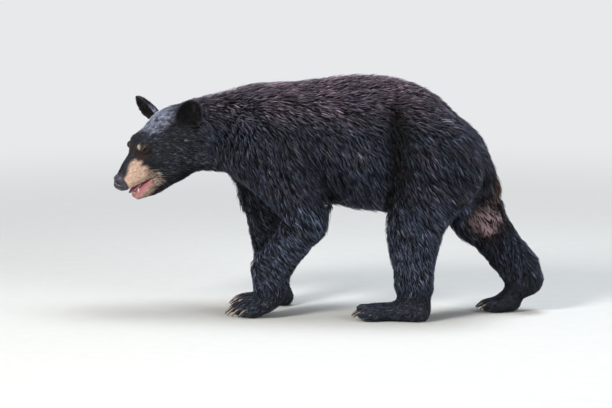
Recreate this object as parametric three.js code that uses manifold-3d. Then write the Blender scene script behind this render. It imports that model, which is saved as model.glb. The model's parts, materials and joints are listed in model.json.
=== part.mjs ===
// A young American black bear at life size, still, in mid stride with its head low and turned to its left.
// Millimetres, +Z up. The bear faces -X, so its left side is -Y. The soles stand on Z = 0.
//
// The flesh is one smooth field: a sum of tapered masses (bones with their muscle and coat) that melt into
// each other. Each sub-part is the surface of that field over its own stretch, at its own fineness, parted
// from its neighbours by thin flat seams. Ears, eyes, tongue and claws are bodies of their own, seated in it.
import * as THREE from "three";
import { mergeVertices } from "three/addons/utils/BufferGeometryUtils.js";
import Module from "manifold-3d";

const wasm = await Module();
wasm.setup();

// ---------------------------------------------------------------- driving dimensions
const SEAM = 0.3; // gap between neighbouring solids
const SEAT = 0.35; // clearance round a piece that is seated in the flesh
const SLIVER = 0.05; // vertices closer than this are one
const REACH = 3000; // larger than the bear, for the blocks that cut it
const MARGIN = 56; // how far the flesh may stand out from its masses
const LEFT = -1; // the sign of Y on each side
const RIGHT = 1;

const HEAD = { x: -480, y: -72, z: 428, yaw: 38, pitch: 29, roll: -3 }; // the point between the eyes; degrees

// The fineness of each mesh, and how softly masses join
const CELL = { trunk: 47, neck: 37, tail: 21, limb: 34, paw: 15.5, head: 17.5, jaw: 16, nose: 12 };
const MELT = { trunk: 40, neck: 50, limb: 26, intoBody: 40, paw: 8, head: 18, face: 8 };

const EYE = { x: 4, y: 37, z: 8, radius: 9.5 };
const EAR = { width: 36, height: 47, thick: 6.5, cup: 14 }; // half sizes
const EARS = [
  { name: "left_ear", centre: [-124, 96, 41], up: [-0.45, 0.42, 0.79], facing: [0.5, 0.82, 0.02] },
  { name: "right_ear", centre: [-100, -83, 45], up: [0.12, -0.76, 0.64], facing: [0.94, -0.26, 0.21] },
]; // in the head's frame; left is +Y there
const MOUTH = { corner: [4, -74], lift: 0.07, drop: 0.12 }; // the corner's X and Z; lips' slopes in radians
const TONGUE = { centre: [52, 0, -79], length: 27, width: 11, thick: 6 };
const TOOTH = { at: [62, 13, -88], radius: 3.4, length: 15, splay: 0.2 };
const CLAW = { radius: 4.6, bend: 0.9, dip: 0.3 }; // bend and dip in radians; the length is each foot's own
const TOES = 5;

const COLOURS = {
  black: 0x15151a,
  tan: 0x9a7a5c,
  nose: 0x1c1a1d,
  pink: 0xb96a74,
  horn: 0x4a4038,
  eye: 0x1a0f0a,
};

// ---------------------------------------------------------------- masses and how they melt
const vec = ([x, y, z]) => new THREE.Vector3(x, y, z);

// A tapered mass from a (radius ra) to b (radius rb). Its breadth along Y is `wide` times its depth.
const mass = (a, ra, b, rb, wide = 1) => ({ a: vec(a), ra, b: vec(b), rb, wide });

const mirrored = ({ a, ra, b, rb, wide }) => mass([a.x, -a.y, a.z], ra, [b.x, -b.y, b.z], rb, wide);

// Signed distance from a point to a tapered mass, taken in a space squeezed along Y by `wide`.
function distanceTo({ a, ra, b, rb, wide }, x, y, z) {
  const axis = [b.x - a.x, (b.y - a.y) / wide, b.z - a.z];
  const from = [x - a.x, (y - a.y) / wide, z - a.z];
  const length = Math.hypot(...axis);
  const along = (from[0] * axis[0] + from[1] * axis[1] + from[2] * axis[2]) / length;
  const across = Math.sqrt(Math.max(0, from[0] ** 2 + from[1] ** 2 + from[2] ** 2 - along ** 2));
  const lean = (ra - rb) / length;
  const upright = Math.sqrt(1 - lean * lean);
  const slid = along * upright - across * lean;
  let d = across * upright + along * lean - ra;
  if (slid < 0) d = Math.hypot(across, along) - ra;
  if (slid > length * upright) d = Math.hypot(across, along - length) - rb;
  return d * Math.min(1, wide);
}

// The union of two distances, rounded off over a width of `soft`.
function melt(d, e, soft) {
  if (!Number.isFinite(d)) return e;
  const h = Math.max(soft - Math.abs(d - e), 0) / soft;
  return Math.min(d, e) - (h * h * soft) / 4;
}

const meltAll = (masses, soft, x, y, z) =>
  masses.reduce((d, m) => melt(d, distanceTo(m, x, y, z), soft), Infinity);

// ---------------------------------------------------------------- the body's masses
const trunk = [
  mass([-195, 0, 474], 104, [-95, 0, 452], 136, 0.8), // chest
  mass([-95, 0, 452], 136, [35, 0, 456], 152, 0.8), // ribs
  mass([35, 0, 456], 152, [130, 0, 454], 160, 0.8), // belly
  mass([130, 0, 450], 158, [200, 0, 440], 144, 0.8), // loin
  mass([200, 0, 440], 143, [286, 0, 406], 102, 0.84), // croup
  mass([286, 0, 406], 102, [336, 0, 376], 70, 0.95), // rump
];

const neck = [
  mass([-190, 0, 478], 102, [-325, -6, 464], 82, 0.86), // crest and throat
  mass([-325, -6, 464], 82, [-392, -26, 455], 70, 0.95), // nape
];

const tail = [
  mass([404, 0, 396], 23, [430, 0, 335], 20), // dock
  mass([430, 0, 335], 20, [437, 0, 300], 13), // tuft
];

// Each limb's joints, from the body down. `turn` is how far its foot toes in, in degrees, negative
// where it toes out; `high` is half the height of its toes, and `claw` the length of its claws.
const foreLeg = (side, j) => ({
  side,
  ...j,
  upper: [
    mass([j.blade[0], side * 62, j.blade[1]], 58, [j.shoulder[0], side * 80, j.shoulder[1]], 68, 0.8),
    mass([j.shoulder[0], side * 82, j.shoulder[1]], 68, [j.elbow[0], side * 94, j.elbow[1]], 50, 0.84),
    mass([j.triceps[0], side * 76, j.triceps[1]], 64, [j.elbow[0] + 14, side * 92, j.elbow[1] + 14], 42, 0.8),
  ],
  lower: [mass([j.elbow[0], side * 94, j.elbow[1] - 12], 52, [j.wrist[0], side * 94, j.wrist[1]], 44, 0.84)],
  heel: [
    mass([j.wrist[0], side * 94, j.wrist[1]], 45, [j.ankle, side * 94, 62], 35, 0.9),
    mass([j.ankle, side * 94, 60], 34, [j.pad[0], side * 94, j.pad[1]], j.pad[2], 1.1),
  ],
});

const hindLeg = (side, j) => ({
  side,
  ...j,
  upper: [
    mass([j.hip[0], side * 66, j.hip[1]], 89, [j.knee[0], side * 90, j.knee[1] + 12], 62, 0.76),
    mass([j.hip[0] + 50, side * 66, j.hip[1] - 38], 52, [j.ham[0], side * 84, j.ham[1]], 43, 0.85),
  ],
  lower: [
    mass([j.knee[0], side * 93, j.knee[1]], 61, [j.hock[0], side * 95, j.hock[1]], 42, 0.86),
    mass([j.ham[0] - 8, side * 88, j.ham[1] - 24], 40, [j.hock[0] + 10, side * 94, j.hock[1] + 20], 32, 0.9),
  ],
  heel: [
    mass([j.hock[0], side * 95, j.hock[1]], 42, [j.heel[0], side * 95, j.heel[1]], 29, 0.9),
    mass([j.heel[0], side * 95, j.heel[1]], 29, [j.ball[0], side * 95, j.ball[1]], 22, 1.3),
  ],
});

const limbs = {
  left_fore: foreLeg(LEFT, {
    blade: [-110, 515],
    shoulder: [-178, 418],
    triceps: [-85, 392],
    elbow: [-42, 260],
    wrist: [-136, 122],
    ankle: -138,
    pad: [-147, 34, 28],
    ball: [-190, 28],
    turn: -35,
    stance: 85,
    toe: 34,
    high: 19,
    claw: 25,
  }),
  right_fore: foreLeg(RIGHT, {
    blade: [-120, 515],
    shoulder: [-226, 412],
    triceps: [-130, 398],
    elbow: [-188, 290],
    wrist: [-158, 112],
    ankle: -166,
    pad: [-130, 23, 24],
    ball: [-208, 22],
    turn: 12,
    toe: 40,
    high: 15.5,
    claw: 25,
  }),
  left_hind: hindLeg(LEFT, {
    hip: [312, 412],
    knee: [227, 262],
    ham: [296, 290],
    hock: [238, 92],
    heel: [248, 28],
    pad: [215, 24, 23],
    ball: [142, 21],
    turn: 4,
    toe: 38,
    high: 20,
    claw: 19,
  }),
  right_hind: hindLeg(RIGHT, {
    hip: [325, 405],
    knee: [358, 258],
    ham: [400, 275],
    hock: [490, 112],
    heel: [516, 80],
    pad: [470, 23, 24],
    ball: [440, 22],
    turn: 6,
    toe: 40,
    high: 18,
    claw: 19,
  }),
};

// The foot's own directions: forward along the toes and out towards the side it is on.
function footAxes({ side, turn }) {
  const a = THREE.MathUtils.degToRad(turn);
  const forward = new THREE.Vector3(-Math.cos(a), -side * Math.sin(a), 0);
  const out = new THREE.Vector3(-Math.sin(a), side * Math.cos(a), 0);
  return { forward, out };
}

// How far the ball of a foot is from the middle plane.
const stanceOf = ({ stance = 95 }) => stance;

// A toe's root and tip. The outer toes are set back from the middle ones.
function toeLine(limb, index) {
  const { forward, out } = footAxes(limb);
  const rank = index - (TOES - 1) / 2;
  const ball = new THREE.Vector3(limb.ball[0], limb.side * stanceOf(limb), 0);
  const setBack = 3.2 * rank * rank;
  const root = ball.clone().addScaledVector(out, rank * 18).addScaledVector(forward, 8 - setBack * 0.6);
  const tip = ball.clone().addScaledVector(out, rank * 20).addScaledVector(forward, limb.toe - setBack);
  root.z = limb.high;
  tip.z = limb.high - 1;
  return { root, tip, forward };
}

const toesOf = (limb) =>
  Array.from({ length: TOES }, (_, i) => {
    const { root, tip } = toeLine(limb, i);
    return mass(root.toArray(), limb.high, tip.toArray(), limb.high - 1, 11.5 / limb.high);
  });

for (const limb of Object.values(limbs)) {
  limb.toes = toesOf(limb);
  const { forward } = footAxes(limb);
  const rear = [limb.pad[0], limb.side * 95, limb.pad[1]];
  const front = new THREE.Vector3(limb.ball[0], limb.side * stanceOf(limb), limb.high).addScaledVector(forward, 12);
  limb.palm = [mass(rear, limb.pad[2], front.toArray(), limb.high + 1.5, 1.6)];
}

// ---------------------------------------------------------------- the head's masses
// They are in the head's own frame: X forward, Y left, Z up.
const pair = (m) => [m, mirrored(m)];

const skull = [
  mass([-92, 0, -10], 61, [-36, 0, -7], 48), // braincase and forehead
  mass([-22, 0, 2], 31, [78, 0, -36], 17.5), // bridge
  mass([14, 0, -36], 34, [76, 0, -42], 22, 0.95), // muzzle
  mass([-70, 0, -76], 50, [-130, 0, -52], 62), // throat
  ...pair(mass([-70, 36, -36], 48, [-24, 25, -38], 37)), // cheek
  ...pair(mass([34, 17, -52], 19, [84, 8, -56], 13.5)), // flews
  ...pair(mass([-50, 26, -90], 35, [20, 13, -97], 20)), // jaw bone
  mass([18, 0, -95], 20, [67, 0, -97], 14, 1.2), // chin
];
const face = [
  ...pair(mass([-14, 26, 20], 17, [10, 21, 12], 13)), // brow
  mass([89, 0, -34], 15, [95, 0, -43], 15, 1.15), // nose pad
];

const headGroup = new THREE.Group();
headGroup.name = "head_group";
headGroup.position.set(HEAD.x, HEAD.y, HEAD.z);
{
  const turn = new THREE.Euler(
    THREE.MathUtils.degToRad(HEAD.roll),
    THREE.MathUtils.degToRad(HEAD.pitch),
    THREE.MathUtils.degToRad(180 + HEAD.yaw),
    "ZYX",
  );
  headGroup.setRotationFromEuler(turn);
}
headGroup.updateMatrixWorld(true);
const intoHead = headGroup.matrixWorld.clone().invert();

// ---------------------------------------------------------------- the whole field of flesh
const probe = new THREE.Vector3();

function flesh(x, y, z) {
  let d = melt(meltAll(trunk, MELT.trunk, x, y, z), meltAll(neck, MELT.neck, x, y, z), MELT.neck);
  for (const limb of Object.values(limbs)) {
    let foot = meltAll(limb.toes, MELT.paw, x, y, z);
    foot = melt(foot, meltAll(limb.palm, MELT.paw, x, y, z), MELT.paw);
    const shaft = meltAll([...limb.upper, ...limb.lower, ...limb.heel], MELT.limb, x, y, z);
    d = melt(d, melt(shaft, foot, MELT.paw), MELT.intoBody);
  }
  probe.set(x, y, z).applyMatrix4(intoHead);
  const { x: hx, y: hy, z: hz } = probe;
  const head = melt(meltAll(skull, MELT.head, hx, hy, hz), meltAll(face, MELT.face, hx, hy, hz), MELT.face);
  return melt(melt(d, head, MELT.intoBody), meltAll(tail, MELT.face, x, y, z), MELT.limb);
}

// ---------------------------------------------------------------- from a field to a closed mesh
// Surface nets: one vertex in each grid cell that the surface crosses, drawn onto the surface, and one quad
// across each grid edge that it cuts. Corners on the box's own faces count as outside, which closes the mesh.
function surfaceOf(field, box, cell) {
  const size = box.getSize(new THREE.Vector3());
  const n = [size.x, size.y, size.z].map((s) => Math.ceil(s / cell) + 2);
  const stride = [1, n[0], n[0] * n[1]];
  const at = (i, j, k) => i + j * stride[1] + k * stride[2];
  const place = (i, axis) => box.min.getComponent(axis) + (i - 0.5) * cell;
  const values = new Float64Array(n[0] * n[1] * n[2]);
  for (let k = 0; k < n[2]; k++)
    for (let j = 0; j < n[1]; j++)
      for (let i = 0; i < n[0]; i++) {
        const rim = [i, j, k].some((c, axis) => c === 0 || c === n[axis] - 1);
        const d = field(place(i, 0), place(j, 1), place(k, 2));
        values[at(i, j, k)] = rim ? Math.max(d, cell / 2) : d;
      }
  unpinch(values, stride);

  const vertexOf = new Map();
  const points = [];
  const corners = [0, 1].flatMap((c) => [0, 1].flatMap((b) => [0, 1].map((a) => [a, b, c])));
  const sideBySide = (p, q) => Math.hypot(...p.map((v, i) => v - q[i])) === 1;
  const edges = corners.flatMap((p, a) =>
    corners.map((q, b) => [a, b, p, q]).filter(([, b, , q]) => b > a && sideBySide(p, q)),
  );
  for (let k = 0; k < n[2] - 1; k++)
    for (let j = 0; j < n[1] - 1; j++)
      for (let i = 0; i < n[0] - 1; i++) {
        const v = corners.map(([a, b, c]) => values[at(i + a, j + b, k + c)]);
        if (v.every((d) => d < 0) || v.every((d) => d >= 0)) continue;
        const mean = new THREE.Vector3();
        let crossings = 0;
        for (const [a, b, p, q] of edges) {
          if (v[a] < 0 === v[b] < 0) continue;
          const t = v[a] / (v[a] - v[b]);
          mean.add(vec(p).lerp(vec(q), t));
          crossings++;
        }
        mean.divideScalar(crossings);
        const point = [place(i + mean.x, 0), place(j + mean.y, 1), place(k + mean.z, 2)];
        vertexOf.set(at(i, j, k), points.length);
        points.push(settled(field, point, cell));
      }

  const faces = [];
  for (let k = 0; k < n[2] - 1; k++)
    for (let j = 0; j < n[1] - 1; j++)
      for (let i = 0; i < n[0] - 1; i++)
        for (let axis = 0; axis < 3; axis++) {
          const here = at(i, j, k);
          const solid = values[here] < 0;
          if (solid === values[here + stride[axis]] < 0) continue;
          const [u, w] = [stride[(axis + 1) % 3], stride[(axis + 2) % 3]];
          const ring = [here - u - w, here - w, here, here - u].map((c) => vertexOf.get(c));
          faces.push(...twoTriangles(solid ? ring : ring.reverse(), points));
        }
  const geometry = new THREE.BufferGeometry();
  geometry.setAttribute("position", new THREE.Float32BufferAttribute(points.flat(), 3));
  geometry.setIndex(faces);
  return geometry;
}

// A grid square whose corners are solid and empty by turns would pinch the surface, so its faintest corner
// flips.
function unpinch(values, stride) {
  for (let round = 0; round < 6; round++)
    for (let axis = 0; axis < 3; axis++) {
      const [u, w] = [stride[axis], stride[(axis + 1) % 3]];
      for (let c = 0; c + u + w < values.length; c++) {
        const ring = [c, c + u, c + u + w, c + w];
        const [p, q, r, s] = ring.map((i) => values[i] < 0);
        if (p !== r || q !== s || p === q) continue;
        const faintest = ring.reduce((a, b) => (Math.abs(values[b]) < Math.abs(values[a]) ? b : a));
        values[faintest] = values[faintest] < 0 ? 1e-3 : -1e-3;
      }
    }
}

// Slides a point along the field's gradient until it lies on the surface, by at most half a cell.
function settled(field, [x, y, z], cell) {
  const step = 0.5;
  const p = [x, y, z];
  for (let round = 0; round < 3; round++) {
    const d = field(...p);
    const slope = [0, 1, 2].map((axis) => {
      const ahead = [...p];
      ahead[axis] += step;
      return (field(...ahead) - d) / step;
    });
    const steep = slope[0] ** 2 + slope[1] ** 2 + slope[2] ** 2;
    if (steep < 0.05) break;
    const start = [x, y, z];
    for (let axis = 0; axis < 3; axis++)
      p[axis] = THREE.MathUtils.clamp(
        p[axis] - (d * slope[axis]) / steep,
        start[axis] - cell / 2,
        start[axis] + cell / 2,
      );
  }
  return p;
}

// Parts a quad along its shorter diagonal.
function twoTriangles([a, b, c, d], points) {
  const gap = (p, q) => Math.hypot(...points[p].map((v, i) => v - points[q][i]));
  return gap(a, c) < gap(b, d) ? [a, b, c, a, c, d] : [a, b, d, b, c, d];
}

// ---------------------------------------------------------------- cutting and joining
function solidOf(geometry) {
  const bare = geometry.clone();
  bare.deleteAttribute("normal");
  bare.deleteAttribute("uv");
  const merged = mergeVertices(bare, 1e-4);
  return new wasm.Manifold(
    new wasm.Mesh({
      numProp: 3,
      vertProperties: new Float32Array(merged.attributes.position.array),
      triVerts: new Uint32Array(merged.index.array),
    }),
  );
}

// The solid's mesh, with the slivers that the cuts leave drawn together and their empty faces dropped.
function geometryOf(solid) {
  const { vertProperties, triVerts } = solid.getMesh();
  const cut = new THREE.BufferGeometry();
  cut.setAttribute("position", new THREE.BufferAttribute(vertProperties, 3));
  cut.setIndex(new THREE.BufferAttribute(triVerts, 1));
  const drawn = mergeVertices(cut, SLIVER);
  const corners = drawn.index.array;
  const kept = [];
  for (let i = 0; i < corners.length; i += 3) {
    const face = [corners[i], corners[i + 1], corners[i + 2]];
    if (new Set(face).size === 3) kept.push(...face);
  }
  drawn.setIndex(kept);
  const flat = drawn.toNonIndexed();
  flat.computeVertexNormals();
  return flat;
}

// A seam is a plane; the side that its normal points to is kept when it is used as it is.
const seam = (point, normal) => ({ point: vec(point), normal: vec(normal).normalize() });
const other = ({ point, normal }) => ({ point, normal: normal.clone().negate() });
const placed = ({ point, normal }, matrix) => ({
  point: point.clone().applyMatrix4(matrix),
  normal: normal.clone().transformDirection(matrix),
});

// A huge block whose one face lies on the seam, `inset` inside the side that is kept.
function blockBehind({ point, normal }, inset) {
  const block = new THREE.BoxGeometry(REACH, REACH, REACH);
  block.translate(0, 0, REACH / 2 + inset);
  block.applyQuaternion(new THREE.Quaternion().setFromUnitVectors(new THREE.Vector3(0, 0, 1), normal));
  block.translate(point.x, point.y, point.z);
  return solidOf(block);
}

const region = (seams, inset) =>
  seams.map((s) => blockBehind(s, inset)).reduce((kept, block) => kept.intersect(block));

// ---------------------------------------------------------------- seams
const floor = seam([0, 0, 0], [0, 0, 1]);
const neckBase = seam([-232, 0, 480], [-0.93, 0, 0.36]); // keeps the neck's side
const tailRoot = seam([414, 0, 378], [0.86, 0, -0.5]); // keeps the tail's side
const besideTail = [LEFT, RIGHT].map((side) => seam([0, side * 26, 0], [0, -side, 0]));
const midline = (side) => seam([0, side * 4, 0], [0, side, 0]);

// The inside of a leg, from the armpit or groin [y, z] up and out to the flank.
const inside = (side, [y0, z0], [y1, z1]) => seam([0, side * y0, z0], [0, side * (z1 - z0), y0 - y1]);

// A seam seen from the side, through two points [x, z]. It keeps what lies to the right of the way from p
// to q.
const across = ([px, pz], [qx, qz]) => seam([px, 0, pz], [qz - pz, 0, px - qx]);

const legSeams = {
  left_fore: {
    round: [inside(LEFT, [28, 292], [122, 480]), across([-70, 510], [28, 235]), other(neckBase)],
    knee: across([-150, 262], [20, 228]),
    ankle: across([-200, 84], [-80, 84]),
  },
  right_fore: {
    round: [inside(RIGHT, [28, 292], [122, 480]), across([-90, 510], [-60, 235]), other(neckBase)],
    knee: across([-240, 258], [-80, 266]),
    ankle: across([-200, 76], [-80, 76]),
  },
  left_hind: {
    round: [inside(LEFT, [28, 262], [124, 480]), across([140, 240], [256, 490])],
    knee: across([150, 238], [350, 222]),
    ankle: across([170, 88], [320, 88]),
  },
  right_hind: {
    round: [inside(RIGHT, [28, 262], [124, 480]), across([240, 200], [256, 490])],
    knee: across([310, 171], [460, 299]),
    ankle: across([420, 98], [580, 98]),
  },
};

const headSeam = (point, normal) => placed(seam(point, normal), headGroup.matrixWorld);
const skullBase = headSeam([-128, 0, -10], [1, 0, 0.35]); // keeps the head's side
const noseRoot = headSeam([88, 0, -34], [1, 0, 0]); // keeps the nose's side
const mouthSeam = (x, z) => headSeam([MOUTH.corner[0], 0, MOUTH.corner[1]], [x, 0, z]);
const upperLip = mouthSeam(-Math.sin(MOUTH.lift), Math.cos(MOUTH.lift)); // keeps the top
const lowerLip = mouthSeam(-Math.sin(MOUTH.drop), -Math.cos(MOUTH.drop)); // keeps the jaw
const cheekSeam = mouthSeam(0.25, -0.97); // keeps the jaw's side

// ---------------------------------------------------------------- pieces seated in the flesh
// A frame of directions at a point: x ahead, y out, z up, each a Vector3 in the piece's own frame.
const basisAt = (point, x, y, z) => new THREE.Matrix4().makeBasis(x, y, z).setPosition(point);

// An ear: a shallow cup. The sphere's x is the way it faces, y its width and z its height.
function earGeometry(grow) {
  const shell = new THREE.SphereGeometry(1, 12, 8);
  const p = shell.attributes.position;
  for (let i = 0; i < p.count; i++) {
    const y = p.getY(i) * (EAR.width + grow);
    const z = p.getZ(i) * (EAR.height + grow);
    const out = (y / EAR.width) ** 2 + (z / EAR.height) ** 2;
    p.setXYZ(i, p.getX(i) * (EAR.thick + grow) + EAR.cup * (out - 1), y, z);
  }
  return shell;
}

function earAt({ centre, up, facing }, grow = 0) {
  const z = vec(up).normalize();
  const y = new THREE.Vector3().crossVectors(z, vec(facing)).normalize();
  const x = new THREE.Vector3().crossVectors(y, z);
  return earGeometry(grow).applyMatrix4(basisAt(vec(centre), x, y, z));
}

// A claw: a cone bent down along an arc, from its seat in the toe to its tip.
function clawGeometry(length, grow) {
  const cone = new THREE.ConeGeometry(CLAW.radius + grow, length + 2 * grow, 5, 3);
  cone.translate(0, length / 2, 0);
  const p = cone.attributes.position;
  const perRadian = length / CLAW.bend;
  for (let i = 0; i < p.count; i++) {
    const turn = CLAW.dip + p.getY(i) / perRadian;
    const ahead = perRadian * (Math.sin(turn) - Math.sin(CLAW.dip)) + p.getX(i) * Math.sin(turn);
    const rise = perRadian * (Math.cos(turn) - Math.cos(CLAW.dip)) + p.getX(i) * Math.cos(turn);
    p.setXYZ(i, ahead, p.getZ(i) * 0.8, rise);
  }
  return cone;
}

function clawAt(limb, index, grow = 0) {
  const { tip, forward, out } = toeLine(limb, index);
  const seat = tip.clone().addScaledVector(forward, limb.high - 9);
  seat.z += 4;
  const up = new THREE.Vector3(0, 0, 1);
  const y = new THREE.Vector3().crossVectors(up, forward);
  return clawGeometry(limb.claw, grow).applyMatrix4(basisAt(seat, forward, y, up));
}

const eyeAt = (side, grow = 0) =>
  new THREE.SphereGeometry(EYE.radius + grow, 10, 6).translate(EYE.x, -side * EYE.y, EYE.z);

// The tongue lies in the lower jaw, in the head's frame.
const tongueAt = (grow = 0) => {
  const half = [TONGUE.length, TONGUE.width, TONGUE.thick].map((size) => size + grow);
  const round = new THREE.SphereGeometry(1, 10, 6).scale(...half);
  return round.rotateY(MOUTH.drop).translate(...TONGUE.centre);
};

const toothAt = (side) =>
  new THREE.ConeGeometry(TOOTH.radius, TOOTH.length, 7)
    .rotateX(Math.PI / 2)
    .rotateX(side * TOOTH.splay)
    .translate(TOOTH.at[0], -side * TOOTH.at[1], TOOTH.at[2]);

// ---------------------------------------------------------------- putting the bear together
const finish = (name, color, roughness) =>
  new THREE.MeshStandardMaterial({ name, color, roughness, metalness: 0 });
const finishes = {
  coat: finish("coat", COLOURS.black, 0.75),
  muzzle: finish("muzzle", COLOURS.tan, 0.8),
  nose: finish("nose", COLOURS.nose, 0.45),
  tongue: finish("tongue", COLOURS.pink, 0.35),
  claw: finish("claw", COLOURS.horn, 0.4),
  eye: finish("eye", COLOURS.eye, 0.08),
};

const bear = new THREE.Group();
bear.name = "bear";
bear.add(headGroup);

function addTo(group, name, geometry, material) {
  const mesh = new THREE.Mesh(geometry, material);
  mesh.name = name;
  group.add(mesh);
}

const boxOf = (masses) => {
  const box = new THREE.Box3();
  for (const { a, ra, b, rb } of masses) {
    box.union(new THREE.Box3().setFromCenterAndSize(a, new THREE.Vector3().setScalar(2 * ra)));
    box.union(new THREE.Box3().setFromCenterAndSize(b, new THREE.Vector3().setScalar(2 * rb)));
  }
  return box.expandByScalar(MARGIN);
};

// One stretch of the flesh: meshed round its masses and kept between its seams, with other stretches and
// seats cut out.
function stretch({ masses, cell, keep, drop = [], seats = [] }) {
  let solid = solidOf(surfaceOf(flesh, boxOf(masses), cell)).intersect(region(keep, SEAM / 2));
  for (const seams of drop) solid = solid.subtract(region(seams, -SEAM / 2));
  for (const seat of seats) solid = solid.subtract(solidOf(seat));
  return largest(solid);
}

const largest = (solid) => solid.decompose().sort((a, b) => b.volume() - a.volume())[0];

const legRegion = (name) => [...legSeams[name].round, midline(limbs[name].side)];
const tailRegion = [tailRoot, ...besideTail];

const trunkSolid = stretch({
  masses: trunk,
  cell: CELL.trunk,
  keep: [other(neckBase)],
  drop: [tailRegion, ...Object.keys(limbs).map(legRegion)],
});
addTo(bear, "trunk", geometryOf(trunkSolid), finishes.coat);

const tailSolid = stretch({ masses: tail, cell: CELL.tail, keep: tailRegion });
addTo(bear, "tail", geometryOf(tailSolid), finishes.coat);

const partNames = { fore: ["upper_arm", "forearm", "paw"], hind: ["thigh", "shank", "foot"] };
for (const [name, limb] of Object.entries(limbs)) {
  const [side, end] = name.split("_");
  const { round, knee, ankle } = legSeams[name];
  const [upper, lower, foot] = partNames[end].map((part) => `${side}_${part}`);
  const inner = midline(limb.side);
  const claws = Array.from({ length: TOES }, (_, i) => clawAt(limb, i));
  const seats = Array.from({ length: TOES }, (_, i) => clawAt(limb, i, SEAT));
  const footMasses = [...limb.heel, ...limb.palm, ...limb.toes];
  const pieces = {
    [upper]: { masses: limb.upper, cell: CELL.limb, keep: [...round, inner, other(knee)] },
    [lower]: { masses: limb.lower, cell: CELL.limb, keep: [inner, knee, other(ankle)] },
    [foot]: { masses: footMasses, cell: CELL.paw, keep: [inner, ankle, floor], seats },
  };
  for (const [part, spec] of Object.entries(pieces)) {
    addTo(bear, part, geometryOf(stretch(spec)), finishes.coat);
  }
  claws.forEach((claw, i) => addTo(bear, `${side}_${end}_claw_${i + 1}`, claw, finishes.claw));
}

// The head's stretches are meshed in the part's frame and handed to the head's group in its own.
const toHeadGroup = (solid) => geometryOf(solid).applyMatrix4(intoHead);
const inHead = (geometry) => geometry.clone().applyMatrix4(headGroup.matrixWorld);
const worldMasses = (masses) =>
  masses.map(({ a, ra, b, rb }) => ({
    a: a.clone().applyMatrix4(headGroup.matrixWorld),
    ra,
    b: b.clone().applyMatrix4(headGroup.matrixWorld),
    rb,
  }));

const earSeats = EARS.map((ear) => inHead(earAt(ear, SEAT)));
const eyeSeats = [LEFT, RIGHT].map((side) => inHead(eyeAt(side, SEAT)));
const headMasses = worldMasses([...skull, ...face]);
const belowLips = [other(upperLip), cheekSeam];

const neckSolid = stretch({
  masses: [...neck, ...headMasses.slice(0, 4)],
  cell: CELL.neck,
  keep: [neckBase, other(skullBase)],
  seats: earSeats,
});
addTo(bear, "neck", geometryOf(neckSolid), finishes.coat);
const headSolid = stretch({
  masses: headMasses,
  cell: CELL.head,
  keep: [skullBase, other(noseRoot)],
  drop: [belowLips],
  seats: [...earSeats, ...eyeSeats],
});
addTo(headGroup, "head", toHeadGroup(headSolid), finishes.coat);

const noseSolid = stretch({ masses: headMasses, cell: CELL.nose, keep: [noseRoot, upperLip] });
addTo(headGroup, "nose", toHeadGroup(noseSolid), finishes.nose);

let jawSolid = stretch({
  masses: headMasses,
  cell: CELL.jaw,
  keep: [lowerLip, cheekSeam, skullBase],
  seats: [inHead(tongueAt(SEAT))],
});
for (const side of [LEFT, RIGHT]) jawSolid = jawSolid.add(solidOf(inHead(toothAt(side))));
addTo(headGroup, "lower_jaw", toHeadGroup(jawSolid), finishes.muzzle);
addTo(headGroup, "tongue", tongueAt(), finishes.tongue);

EARS.forEach((ear) => addTo(headGroup, ear.name, earAt(ear), finishes.coat));
addTo(headGroup, "left_eye", eyeAt(LEFT), finishes.eye);
addTo(headGroup, "right_eye", eyeAt(RIGHT), finishes.eye);

// The part's origin is the middle of its footprint on the floor.
bear.updateMatrixWorld(true);
const extent = new THREE.Box3().setFromObject(bear, true);
bear.position.set(-(extent.min.x + extent.max.x) / 2, -(extent.min.y + extent.max.y) / 2, -extent.min.z);

export default bear;
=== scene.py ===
import json
from math import cos, pi, radians, sin

import bmesh
import bpy
import numpy as np
from bpy.props import FloatProperty, FloatVectorProperty, PointerProperty
from mathutils import Matrix, Vector
from mathutils.bvhtree import BVHTree
from mathutils.kdtree import KDTree


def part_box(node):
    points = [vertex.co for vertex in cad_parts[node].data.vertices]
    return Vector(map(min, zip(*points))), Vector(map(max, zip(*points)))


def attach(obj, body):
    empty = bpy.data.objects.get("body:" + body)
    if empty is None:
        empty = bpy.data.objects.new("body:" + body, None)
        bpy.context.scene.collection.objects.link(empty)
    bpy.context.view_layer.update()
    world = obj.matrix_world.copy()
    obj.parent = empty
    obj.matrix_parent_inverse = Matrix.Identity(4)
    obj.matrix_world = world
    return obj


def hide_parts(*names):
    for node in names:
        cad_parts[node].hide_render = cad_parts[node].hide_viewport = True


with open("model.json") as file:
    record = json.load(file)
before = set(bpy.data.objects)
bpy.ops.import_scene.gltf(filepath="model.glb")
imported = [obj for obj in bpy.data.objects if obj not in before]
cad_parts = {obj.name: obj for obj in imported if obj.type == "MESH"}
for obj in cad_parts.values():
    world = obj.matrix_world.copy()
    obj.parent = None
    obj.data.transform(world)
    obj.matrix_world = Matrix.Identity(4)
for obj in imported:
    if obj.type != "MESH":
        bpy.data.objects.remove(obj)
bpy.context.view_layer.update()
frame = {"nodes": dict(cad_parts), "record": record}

bl_info = {
    "name": "Young black bear",
    "version": (1, 0, 0),
    "blender": (4, 5, 0),
    "location": "3D View > Sidebar > Bear",
    "description": "Builds the skin, coat and features of a life-size young black bear",
    "category": "Object",
}

MM = 0.001

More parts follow.
